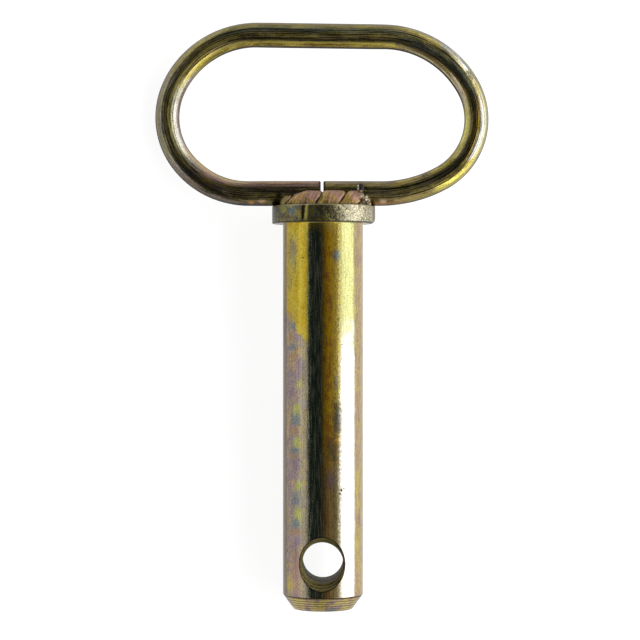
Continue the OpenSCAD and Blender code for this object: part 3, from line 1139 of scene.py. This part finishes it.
def hole_burr(tree, place, radius, depth, dots):
    """The dark line round the cross hole's edge."""
    x, _, z = split(tree, place)
    across, along = plus(tree, x, BROKEN_LEFT), minus(tree, z, HOLE_Z - BROKEN_DOWN)
    from_hole = length_of(tree, join(tree, across, 0.0, along))
    sink_edge = total(tree, (minus(tree, SHANK_R, depth), -COUNTERSINK_SLOPE),
                      (1.0, COUNTERSINK_R + BROKEN_WIDER))
    past_edge = total(tree, (from_hole, 1.0), (sink_edge, -1.0), (dots, 0.3 * MM))
    burr = band(tree, past_edge, -0.30 * MM, 0.14 * MM, 0.05 * MM)
    return times(tree, burr, between(tree, radius, SHANK_R - 0.5 * MM, SHANK_R - 0.3 * MM))


def head_colours(tree, x, z, mottle, grain, dots, worm_lines, to_right):
    """The head's colours: mottled dark on the left, pale on the right as a painted highlight, and a dark
    outline of painted shade along its lower edge and sides.
    """
    left = ramp(tree, mottle, HEAD_TONES)
    # The right half is painted pale as a highlight, where the right lamp mirrors, with the dark worm
    # wrinkles on it
    right = cover(tree, (0.66, 0.6, 0.42, 1), (0.1, 0.08, 0.05, 1), worm_lines, 0.85)
    for tone, across, up, half_across, half_up in HEAD_SPOTS:
        mask = spot(tree, x, z, times(tree, dots, 3.0), (across * MM, up * MM),
                    (half_across * MM, half_up * MM))
        left = cover(tree, left, tone, mask, 0.8)
    colour = mix(tree, to_right, left, right)
    colour = shaded(tree, colour, plus(tree, times(tree, dots, 2.2), 1.0))
    dotted = times(tree, between(tree, grain, 0.55, 0.62), band(tree, x, 1 * MM, 7.5 * MM, 1.5 * MM))
    colour = cover(tree, colour, (0.75, 0.68, 0.22, 1), dotted, 0.8)
    groove = band(tree, total(tree, (x, 1.0), (dots, 1.5 * MM)), -5.7 * MM, -4.7 * MM, 0.35 * MM)
    colour = cover(tree, colour, (0.4, 0.34, 0.05, 1), groove, 0.75)
    # Painted shade in the groove down the head's rim
    groove_shade = band(tree, x, -6.6 * MM, -6.1 * MM, 0.25 * MM)
    colour = cover(tree, colour, DEEP_BLACK, groove_shade, 0.85)
    # Painted shade along the head's lower edge, by the seat face
    under = falling(tree, total(tree, (z, 1.0), (dots, 0.5 * MM)), 0.25 * MM, 0.6 * MM)
    colour = cover(tree, colour, DARK_EDGE, under, 0.85)
    top_edge = between(tree, z, HEAD_T - 0.5 * MM, HEAD_T - 0.25 * MM)
    colour = cover(tree, colour, (0.6, 0.52, 0.32, 1), top_edge, 0.6)
    # Painted shade: a dark outline towards both sides of the head, joined to the lower edge's
    from_middle = absolute(tree, total(tree, (x, 1.0), (dots, 0.5 * MM)))
    outline = larger(tree, under, between(tree, from_middle, HEAD_R - 1.0 * MM, HEAD_R - 0.3 * MM))
    return cover(tree, colour, DARK_EDGE, outline, 0.7), outline


def pin_material(lines, pits):
    material, tree, shader = new_material("plated_pin")
    place = upright_place(tree)
    x, y, z = split(tree, place)
    u = times(tree, maths(tree, "ARCTAN2", x, times(tree, y, -1.0)), SHANK_R)
    radius = length_of(tree, join(tree, x, y, 0.0))

    along = use_group(tree, lines, Vector=join(tree, z, x, y), Fineness=2600.0, Stretch=0.06)
    streak = minus(tree, along.outputs["Height"], 0.5)
    turned = use_group(tree, lines, Vector=join(tree, u, radius, z), Fineness=2600.0, Stretch=0.04)
    specks = use_group(tree, pits, Vector=place, Scale=1500.0, Amount=0.14)
    grain = noise(tree, place, 2000.0, 3.0, 0.7)
    dots = minus(tree, grain, 0.5)
    mottle = total(tree, (noise(tree, place, 260.0, 3.0, 0.6, 0.5), 0.60),
                   (noise(tree, place, 1100.0, 4.0, 0.7, 0.4), 0.40), (dots, 0.30))

    colour = shank_colours(tree, place, u, z, mottle, streak, dots)
    level = plus(tree, total(tree, (dots, 1.7), (streak, 1.3)), 1.0)
    colour = shaded(tree, colour, larger(tree, level, 0.3))
    speckled = between(tree, grain, 0.58, 0.70)
    colour = cover(tree, colour, (0.14, 0.12, 0.08, 1), speckled, 0.45)
    colour = cover(tree, colour, (0.04, 0.035, 0.03, 1), specks.outputs["Mask"], 0.6)
    nicks = nick_mask(tree, u, z)
    colour = mix(tree, nicks, colour, DEEP_BLACK)

    # The tip's chamfer and end face, turned
    chamfer = falling(tree, z, CHAMFER_L - SHANK_L - 0.15 * MM, CHAMFER_L - SHANK_L + 0.1 * MM)
    tip, rings = tip_colours(tree, place, z, radius, dots)
    colour = mix(tree, chamfer, colour, tip)

    # The cross hole's bore and countersinks, drilled
    bored = falling(tree, radius, SHANK_R - 0.32 * MM, SHANK_R - 0.06 * MM)
    bored = times(tree, bored, band(tree, z, HOLE_Z - 9 * MM, HOLE_Z + 9 * MM, 0.1 * MM))
    depth = absolute(tree, y)
    bore, drilled = bore_colours(tree, place, depth, dots)
    colour = mix(tree, bored, colour, bore)
    burr = hole_burr(tree, place, radius, depth, dots)
    colour = cover(tree, colour, DARK_EDGE, burr, 0.85)

    # The forged head, with wormy wrinkles and a painted highlight on its right
    on_head = between(tree, z, -0.02 * MM, 0.05 * MM)
    worms = absolute(tree, minus(tree, noise(tree, place, 900.0, 0.5, 0.5, 1.6), 0.5))
    worm_lines = falling(tree, worms, 0.02, 0.055)
    to_right = between(tree, total(tree, (x, 1.0), (minus(tree, mottle, 0.5), 0.02)), 0.0025, 0.0075)
    head, outline = head_colours(tree, x, z, mottle, grain, dots, worm_lines, to_right)
    colour = mix(tree, on_head, colour, head)
    tree.links.new(colour, shader.inputs["Base Color"])
    metallic = total(tree, (bored, -0.6), (on_head, -0.15), (times(tree, outline, on_head), -0.5),
                     (1.0, 0.9))
    tree.links.new(metallic, shader.inputs["Metallic"])

    cloud = noise(tree, place, 90.0, 4.0, 0.6)
    roughness = total(tree, (cloud, 0.16), (grain, 0.10), (on_head, 0.16), (bored, 0.34),
                      (chamfer, 0.10), (specks.outputs["Mask"], 0.2))
    tree.links.new(plus(tree, roughness, 0.04), shader.inputs["Roughness"])

    off_head = minus(tree, 1.0, on_head)
    shank_height = total(tree, (along.outputs["Height"], 0.35), (turned.outputs["Height"], 0.25),
                         (grain, 1.7), (noise(tree, place, 500.0, 2.0, 0.5), 1.0),
                         (specks.outputs["Height"], 0.8), (nicks, -4.0))
    tip_height = times(tree, chamfer, times(tree, rings, -1.6))
    bore_height = times(tree, bored, times(tree, drilled, 6.0))
    head_height = total(tree, (noise(tree, place, 1400.0, 4.0, 0.6, 1.2), 4.0),
                        (times(tree, worm_lines, to_right), -5.0))
    height = total(tree, (times(tree, off_head, shank_height), 1.0), (tip_height, 1.0),
                   (bore_height, 1.0), (times(tree, on_head, head_height), 1.0))
    tree.links.new(bump(tree, height, 0.015 * MM), shader.inputs["Normal"])
    return material


# The loop's own tones; the last two are a painted highlight and a painted reflection
BROWN = (0.13, 0.085, 0.03)
DARK = (0.10, 0.095, 0.045)
TEAL_BLACK = (0.10, 0.14, 0.11)
KHAKI = (0.58, 0.44, 0.13)
BAR_OLIVE = (0.36, 0.30, 0.07)
GREY = (0.36, 0.33, 0.23)
PALE = (0.62, 0.60, 0.32)
LIME_GOLD = (0.66, 0.56, 0.06)
BRIGHT_GOLD = (0.90, 0.76, 0.14)
HIGHLIGHT_GOLD = (1.0, 0.90, 0.24)
ICE_REFLECTION = (0.90, 0.96, 1.0)

# The film round the loop, with painted light, stretch by stretch: where it starts along the straightened
# bar, in mm from its right end, and its colours across the bar from the inside of the loop (-1) to the
# outside. The silver, pale, ice and light gold stops are painted highlights and reflections, and the dark
# brown at the edges of most stretches is painted edge shade
LOOP_FILM_AND_LIGHT = [
    (0, [(-1, BROWN), (-0.75, (0.28, 0.21, 0.12)), (-0.5, BAR_OLIVE), (-0.1, DARK), (0.3, BAR_OLIVE),
         (0.62, BROWN), (0.78, RUST), (1, BROWN)]),
    (22, [(-1, BROWN), (-0.75, KHAKI), (-0.45, BAR_OLIVE), (-0.1, DARK), (0.3, BAR_OLIVE),
          (0.65, KHAKI), (0.85, BAR_OLIVE), (1, BROWN)]),
    (36, [(-1, BAR_OLIVE), (-0.72, LIME_GOLD), (-0.4, DARK), (0.05, DARK), (0.3, DEEP_GOLD),
          (0.6, BRIGHT_GOLD), (0.85, BRIGHT_GOLD), (1, BAR_OLIVE)]),
    (50, [(-1, LIME_GOLD), (-0.78, HIGHLIGHT_GOLD), (-0.5, BAR_OLIVE), (-0.2, DARK), (0.15, AMBER),
          (0.45, HIGHLIGHT_SILVER), (0.85, PALE), (1, GREY)]),
    (66, [(-1, BROWN), (-0.72, (0.90, 0.76, 0.58)), (-0.5, KHAKI), (-0.2, NEAR_BLACK), (0.2, TEAL_BLACK),
          (0.45, BAR_OLIVE), (0.7, (0.66, 0.58, 0.22)), (1, GREY)]),
    (76, [(-1, BROWN), (-0.78, (0.80, 0.70, 0.38)), (-0.6, BROWN), (-0.2, TEAL_BLACK),
          (0.2, TEAL_BLACK), (0.42, BAR_OLIVE), (0.6, ICE_REFLECTION), (0.85, ICE_REFLECTION), (1, GREY)]),
    (84, [(-1, BROWN), (-0.78, (0.80, 0.70, 0.38)), (-0.6, BROWN), (-0.2, TEAL_BLACK), (0.25, BAR_OLIVE),
          (0.5, KHAKI), (0.7, BRIGHT_GOLD), (0.85, GREY), (1, GREY)]),
    (98, [(-1, BROWN), (-0.82, DEEP_GOLD), (-0.6, BRIGHT_GOLD), (-0.44, BROWN), (0.0, BAR_OLIVE),
          (0.35, (0.20, 0.25, 0.17)), (0.7, BAR_OLIVE), (1, BROWN)]),
    (154, [(-1, LIME_GOLD), (-0.6, BRIGHT_GOLD), (-0.45, KHAKI), (-0.1, BAR_OLIVE), (0.3, DARK),
           (0.65, (0.50, 0.42, 0.14)), (0.85, (0.44, 0.38, 0.18)), (1, BROWN)]),
    (174, [(-1, PINK), (-0.7, HIGHLIGHT_SILVER), (-0.4, PALE), (-0.15, BAR_OLIVE), (0.25, DARK),
           (0.55, GREY), (0.85, GREY), (1, BROWN)]),
    (203, [(-1, LIME_GOLD), (-0.72, (0.85, 0.60, 0.42)), (-0.45, PINK), (-0.2, BROWN),
           (0.2, NEAR_BLACK), (0.55, NEAR_BLACK), (0.75, (0.36, 0.27, 0.21)), (0.92, NEAR_BLACK)]),
    (224, [(-1, RUST), (-0.7, PINK), (-0.4, BROWN), (0.0, DARK), (0.35, BAR_OLIVE),
           (0.6, BAR_OLIVE), (0.75, BROWN), (0.92, NEAR_BLACK)]),
]

# Spots on the bar near the weld: colour, how far along in mm, how far out from the bar's middle, of its
# radius, and half length and half width in mm. The near-black ones are painted shadow in the gaps between
# the bar and the head, and the pale orange ones painted glints
BAR_SPOTS = [
    (NEAR_BLACK, 235.6, 0.70, 2.0, 1.3), (NEAR_BLACK, 236.0, 0.20, 1.2, 1.0),
    ((0.85, 0.55, 0.28, 1), 230.8, 0.62, 1.3, 0.6), ((0.60, 0.30, 0.10, 1), 227.5, 0.75, 0.9, 0.5),
    (NEAR_BLACK, 14.9, 0.80, 0.9, 0.9), ((0.85, 0.60, 0.34, 1), 18.8, 0.62, 1.1, 0.8),
]

# Dark lines left by drawing: how far out from the bar's middle, of its radius, and half width in mm
DRAW_LINES = [(-0.44, 0.13), (-0.27, 0.17), (-0.12, 0.12), (0.03, 0.16), (0.20, 0.12), (0.37, 0.14)]


def draw_lines(tree, reach, side):
    """Dark lines along the bar, each coming and going along it."""
    summed = None
    for number, (middle, half_width) in enumerate(DRAW_LINES):
        own = join(tree, reach, 3.0 * number, 0.0)
        wander = minus(tree, noise(tree, own, 45.0, 1.0), 0.5)
        away = total(tree, (side, 1.0), (wander, 1.5 * MM))
        away = absolute(tree, minus(tree, away, middle * BAR_R))
        line = falling(tree, away, 0.4 * half_width * MM, 1.5 * half_width * MM)
        there = between(tree, noise(tree, own, 110.0, 3.0, 0.6), 0.42, 0.56, 0.15, 1.0)
        line = times(tree, line, there)
        summed = line if summed is None else larger(tree, summed, line)
    return summed


def loop_colours(tree, reach, across, wander):
    """The film's colours and painted light round the loop, each stretch running raggedly into the next."""
    colour = None
    for start, tones in LOOP_FILM_AND_LIGHT:
        stops = [((place + 1) / 2, tone) for place, tone in tones]
        stretch = ramp(tree, across, stops)
        if colour is None:
            colour = stretch
        else:
            reached = minus(tree, plus(tree, reach, wander), start * MM)
            colour = mix(tree, between(tree, reached, -4 * MM, 4 * MM), colour, stretch)
    return colour


def bar_material(film, lines, pits):
    material, tree, shader = new_material("plated_bar")
    unbent = tree.nodes.new("ShaderNodeAttribute")
    unbent.attribute_name = "unbent"
    place = unbent.outputs["Vector"]
    reach, _, side = split(tree, place)
    draw = use_group(tree, lines, Vector=place, Fineness=1900.0, Stretch=0.010)
    fine_draw = use_group(tree, lines, Vector=place, Fineness=4400.0, Stretch=0.014)
    drawn = minus(tree, draw.outputs["Height"], 0.5)
    stretched = put(tree, "ShaderNodeVectorMath", {"operation": "MULTIPLY"})
    tree.links.new(place, stretched.inputs[0])
    stretched.inputs[1].default_value = (0.4, 1.0, 1.0)
    blotches = minus(tree, noise(tree, stretched.outputs[0], 420.0, 4.0, 0.62, 0.4), 0.5)
    grain = minus(tree, noise(tree, place, 2000.0, 3.0, 0.7), 0.5)
    across = total(tree, (side, 0.5 / BAR_R), (drawn, 0.22), (blotches, 0.30), (grain, 0.12))
    across = plus(tree, across, 0.5)
    colour = loop_colours(tree, reach, across, times(tree, blotches, 40 * MM))
    coat = use_group(tree, film, Vector=stretched.outputs[0], Thickness=0.45, Spread=1.1,
                     Patch_Scale=330.0)
    colour = mix(tree, 0.2, colour, coat.outputs["Colour"])
    level = plus(tree, total(tree, (grain, 1.8), (drawn, 3.6), (blotches, 2.0)), 1.0)
    # Painted light: the bar's middle, seen face on, is made lighter than towards its edges
    middle_light = between(tree, absolute(tree, side), 0.15 * BAR_R, 0.62 * BAR_R, 1.7, 1.0)
    level = times(tree, larger(tree, level, 0.25), middle_light)
    colour = shaded(tree, colour, level)
    specks = use_group(tree, pits, Vector=place, Scale=1400.0, Amount=0.12)
    middle = between(tree, absolute(tree, side), 1.2 * MM, 3.2 * MM, 0.95, 0.45)
    dark_lines = between(tree, draw.outputs["Height"], 0.55, 0.59)
    colour = cover(tree, colour, (0.03, 0.03, 0.015, 1), dark_lines, middle)
    colour = cover(tree, colour, (0.012, 0.012, 0.006, 1), draw_lines(tree, reach, side), 0.92)
    fine_lines = between(tree, fine_draw.outputs["Height"], 0.56, 0.68)
    colour = cover(tree, colour, (0.06, 0.05, 0.03, 1), fine_lines, 0.5)
    colour = cover(tree, colour, PIT_DARK, specks.outputs["Mask"], 0.6)
    # Painted shade: a dark outline along the bar's inner and outer edges
    outer = between(tree, total(tree, (side, 1.0), (blotches, 0.7 * MM)), 0.88 * BAR_R, 0.965 * BAR_R)
    outer = times(tree, outer, between(tree, reach, 186 * MM, 200 * MM, 0.7, 1.0))
    inner = between(tree, total(tree, (side, -1.0), (blotches, 0.7 * MM)), 0.88 * BAR_R, 0.965 * BAR_R)
    inner = times(tree, inner, total(tree, (band(tree, reach, 70 * MM, 165 * MM, 6 * MM), 0.45),
                                     (1.0, 0.5)))
    outline_shade = larger(tree, outer, inner)
    # Painted shade at the bar's two cut ends, beside the gap
    from_ends = smaller(tree, reach, minus(tree, BAR_LENGTH, reach))
    end_shade = between(tree, total(tree, (from_ends, 1.0), (grain, 0.5 * MM)), 0.5 * MM, 0.8 * MM, 0.9, 0.0)
    # A pitted blotch on the right bend
    blotch = spot(tree, reach, side, times(tree, grain, 4.0), (74.6 * MM, 0.55 * BAR_R),
                  (1.6 * MM, 0.8 * MM))
    pitted = mix(tree, between(tree, grain, 0.06, 0.12), (0.07, 0.07, 0.04, 1), (0.80, 0.80, 0.70, 1))
    colour = cover(tree, colour, pitted, blotch, 0.85)
    # Painted shadow where the bar leaves the weld over the head, and painted glints and a brassy spot beside
    # it
    for tone, along_mm, out, half_along, half_out in BAR_SPOTS:
        mask = spot(tree, reach, side, times(tree, grain, 2.0), (along_mm * MM, out * BAR_R),
                    (half_along * MM, half_out * MM))
        colour = cover(tree, colour, tone, mask, 0.9)
    outline_shade = larger(tree, outline_shade, end_shade)
    colour = mix(tree, outline_shade, colour, (0.02, 0.016, 0.008, 1))
    tree.links.new(colour, shader.inputs["Base Color"])
    tree.links.new(times(tree, minus(tree, 1.0, outline_shade), 0.68), shader.inputs["Metallic"])
    cloud = noise(tree, place, 150.0, 3.0, 0.6)
    tree.links.new(total(tree, (cloud, 0.20), (fine_draw.outputs["Height"], 0.06), (outline_shade, 0.6)),
                   shader.inputs["Roughness"])
    height = total(tree, (draw.outputs["Height"], 2.2), (fine_draw.outputs["Height"], 0.7),
                   (specks.outputs["Height"], 0.8), (noise(tree, place, 700.0, 2.0, 0.5), 0.6),
                   (grain, 0.8))
    tree.links.new(bump(tree, height, 0.03 * MM), shader.inputs["Normal"])
    return material


# A stitch's tones from its start to its end: gold, then pink to mauve, and brown where it ends
STITCH_TONES = [(0.08, (0.42, 0.28, 0.07)), (0.22, (0.78, 0.53, 0.13)), (0.36, (0.70, 0.43, 0.17)),
                (0.50, (0.62, 0.34, 0.26)), (0.66, (0.46, 0.25, 0.24)), (0.82, (0.56, 0.37, 0.12)),
                (0.95, (0.22, 0.15, 0.05))]


def weld_material(pits):
    material, tree, shader = new_material("plated_weld")
    place = upright_place(tree)
    x, _, height = split(tree, place)
    frozen = tree.nodes.new("ShaderNodeAttribute")
    frozen.attribute_name = "frozen"
    through, steep, from_seam = split(tree, frozen.outputs["Vector"])
    mottle = minus(tree, noise(tree, place, 700.0, 4.0, 0.65, 0.6), 0.5)
    shade = total(tree, (through, 0.50), (steep, 0.42), (mottle, 1.6))
    colour = ramp(tree, shade, STITCH_TONES)
    unleaned = total(tree, (x, 1.6), (steep, -0.0043))
    ripple = noise(tree, join(tree, unleaned, times(tree, steep, 0.0012), 0.0), 700.0, 3.0, 0.65, 1.2)
    level = total(tree, (minus(tree, ripple, 0.5), 2.6), (mottle, 1.5), (1.0, 1.0))
    colour = shaded(tree, colour, smaller(tree, larger(tree, level, 0.35), 1.5))
    foot = falling(tree, total(tree, (steep, 1.0), (mottle, 1.2)), 0.14, 0.34)
    colour = cover(tree, colour, mix(tree, between(tree, ripple, 0.42, 0.56), (0.14, 0.1, 0.03, 1),
                                     (0.86, 0.62, 0.14, 1)), foot, 0.7)
    olive_end = falling(tree, x, -11.5 * MM, -10.5 * MM)
    colour = cover(tree, colour, (0.34, 0.32, 0.08, 1), olive_end, 0.7)
    seams = falling(tree, total(tree, (from_seam, 1.0), (mottle, 0.9)), 0.18, 0.5)
    colour = cover(tree, colour, (0.04, 0.03, 0.012, 1), seams, 0.9)
    # Painted glints: pale cream sparkles mixed with dark over the bead's pitted end
    end_glints = between(tree, total(tree, (x, 1.0), (mottle, 2 * MM)), 11.4 * MM, 12.6 * MM)
    colour = mix(tree, end_glints, colour, mix(tree, between(tree, mottle, -0.05, 0.1),
                                              (0.16, 0.11, 0.05, 1), (0.92, 0.80, 0.58, 1)))
    # Painted shade: the spatter ball and the pit beside it are darkened to near black
    spatter_shade = times(tree, band(tree, x, 10.4 * MM, 13.4 * MM, 0.15 * MM),
                      between(tree, height, HEAD_T + 4.7 * MM, HEAD_T + 5.0 * MM))
    colour = mix(tree, spatter_shade, colour, (0.03, 0.02, 0.015, 1))
    # Painted glint: a white streak down the spatter ball's left side
    glint = times(tree, spatter_shade, band(tree, x, 10.5 * MM, 11.3 * MM, 0.12 * MM))
    glint = times(tree, glint, between(tree, mottle, -0.12, -0.04))
    colour = mix(tree, glint, colour, (1.0, 0.97, 0.90, 1))
    # Painted shade in the crease where the bead's toe meets the head
    toe_shade = falling(tree, total(tree, (steep, 1.0), (mottle, 0.12)), 0.03, 0.13)
    colour = cover(tree, colour, DARK_EDGE, toe_shade, 0.7)
    specks = use_group(tree, pits, Vector=place, Scale=1500.0, Amount=0.16)
    colour = cover(tree, colour, PIT_DARK, specks.outputs["Mask"], 0.6)
    tree.links.new(colour, shader.inputs["Base Color"])
    shader.inputs["Metallic"].default_value = 0.45
    cloud = noise(tree, place, 500.0, 3.0, 0.6)
    roughness = total(tree, (cloud, 0.25), (end_glints, -0.16))
    tree.links.new(plus(tree, roughness, 0.24), shader.inputs["Roughness"])
    relief = total(tree, (noise(tree, place, 1500.0, 4.0, 0.6), 2.5), (specks.outputs["Height"], 1.0),
                   (ripple, 3.0))
    tree.links.new(bump(tree, relief, 0.06 * MM), shader.inputs["Normal"])
    return material


# ---- Putting the pieces together ---------------------------------------------------------------

# The sharpest edge that shades smooth on each piece, in degrees
PIN_SMOOTH = 35
BAR_SMOOTH = 60
WELD_SMOOTH = 80


def finish_piece(piece, material, node, smooth_angle):
    deselect_all()
    piece.select_set(True)
    bpy.context.view_layer.objects.active = piece
    bpy.ops.object.shade_smooth_by_angle(angle=math.radians(smooth_angle))
    piece.data.materials.clear()
    piece.data.materials.append(material)
    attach(piece, "root")
    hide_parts(node)


film_group = make_film_group()
lines_group = make_lines_group()
pits_group = make_pits_group()

plated_pin = pin_material(lines_group, pits_group)
plated_bar = bar_material(film_group, lines_group, pits_group)
plated_weld = weld_material(pits_group)

finish_piece(make_headed_pin(), plated_pin, "headed_pin", PIN_SMOOTH)
finish_piece(make_loop_handle(), plated_bar, "loop_handle", BAR_SMOOTH)
finish_piece(make_front_weld(), plated_weld, "front_weld", WELD_SMOOTH)
finish_piece(make_rear_weld(), plated_weld, "rear_weld", WELD_SMOOTH)


# ---- Floor, light and camera -------------------------------------------------------------------

FLOOR_SIZE = 16
FLOOR_GREY = 0.32
# How white the floor looks to the camera, and the share of it that shiny metal mirrors
FLOOR_GLOW = 0.91
MIRRORED_SHARE = 0.65


def make_floor():
    deselect_all()
    bpy.ops.mesh.primitive_plane_add(size=FLOOR_SIZE, location=(0, 0, CAD_BOX[0][2]))
    floor = bpy.context.object
    floor.name = "floor"
    material, tree, shader = new_material("white_floor")
    shader.inputs["Base Color"].default_value = (FLOOR_GREY, FLOOR_GREY, FLOOR_GREY, 1)
    shader.inputs["Roughness"].default_value = 0.9
    shader.inputs["Specular IOR Level"].default_value = 0.0
    path = tree.nodes.new("ShaderNodeLightPath")
    mirrored = times(tree, path.outputs["Is Glossy Ray"], MIRRORED_SHARE)
    seen = larger(tree, path.outputs["Is Camera Ray"], mirrored)
    seen = larger(tree, seen, path.outputs["Is Transmission Ray"])
    shader.inputs["Emission Color"].default_value = (1, 1, 1, 1)
    tree.links.new(times(tree, seen, FLOOR_GLOW), shader.inputs["Emission Strength"])
    floor.data.materials.append(material)


HORIZON_LEVEL = 0.5
OVERHEAD_LEVEL = 0.008
RIGHT_LEVEL = 0.26


def make_world():
    """A studio that is pale round the horizon, paler to the right, and dark overhead."""
    world = bpy.data.worlds.new("studio")
    bpy.context.scene.world = world
    world.use_nodes = True
    tree = world.node_tree
    coordinates = tree.nodes.new("ShaderNodeTexCoord")
    facing = []
    for axis in ((0, 0, 1), (1, 0, 0)):
        dot = put(tree, "ShaderNodeVectorMath", {"operation": "DOT_PRODUCT"})
        tree.links.new(coordinates.outputs["Generated"], dot.inputs[0])
        dot.inputs[1].default_value = STUDIO.to_3x3() @ Vector(axis)
        facing.append(dot.outputs["Value"])
    overhead, to_right = facing
    horizon = between(tree, overhead, 0.2, 0.6, HORIZON_LEVEL, OVERHEAD_LEVEL)
    paler_right = between(tree, to_right, -0.12, 0.5, 0.0, RIGHT_LEVEL)
    level = plus(tree, horizon, paler_right)
    background = tree.nodes["Background"]
    background.inputs["Color"].default_value = (1, 1, 1, 1)
    tree.links.new(level, background.inputs["Strength"])


# The soft boxes: name, centre in the studio, width, height and the radiance of its face
PANELS = [
    ("right_soft_box", (1.0, -0.1, 0.35), 2.4, 1.1, 1.3),
    ("left_soft_box", (-1.0, 0.0, 0.6), 2.4, 0.6, 0.75),
]
PANEL_TARGET = (0, -0.03, 0)


def add_panel(name, centre, width, height, radiance):
    """A soft box aimed at the pin, whose face has that radiance."""
    data = bpy.data.lights.new(name, "AREA")
    data.shape = "RECTANGLE"
    data.size = width
    data.size_y = height
    data.energy = radiance * math.pi * width * height
    panel = bpy.data.objects.new(name, data)
    bpy.context.scene.collection.objects.link(panel)
    aim = (Vector(PANEL_TARGET) - Vector(centre)).to_track_quat("-Z", "Y").to_matrix().to_4x4()
    panel.matrix_world = STUDIO @ Matrix.Translation(centre) @ aim
    panel.visible_camera = False


CAMERA_X = -0.95 * MM
CAMERA_ALONG = -30.5 * MM
CAMERA_DISTANCE = 730 * MM
FRAME_WIDTH = 203.2 * MM


def make_camera():
    data = bpy.data.cameras.new("camera")
    camera = bpy.data.objects.new("camera", data)
    bpy.context.scene.collection.objects.link(camera)
    data.sensor_width = 36
    data.lens = data.sensor_width * CAMERA_DISTANCE / FRAME_WIDTH
    data.clip_start = 0.01
    data.clip_end = 50
    camera.matrix_world = STUDIO @ Matrix.Translation((CAMERA_X, CAMERA_ALONG, CAMERA_DISTANCE))
    bpy.context.scene.camera = camera


make_floor()
make_world()
for panel in PANELS:
    add_panel(*panel)
make_camera()
bpy.context.scene.view_settings.view_transform = "Standard"
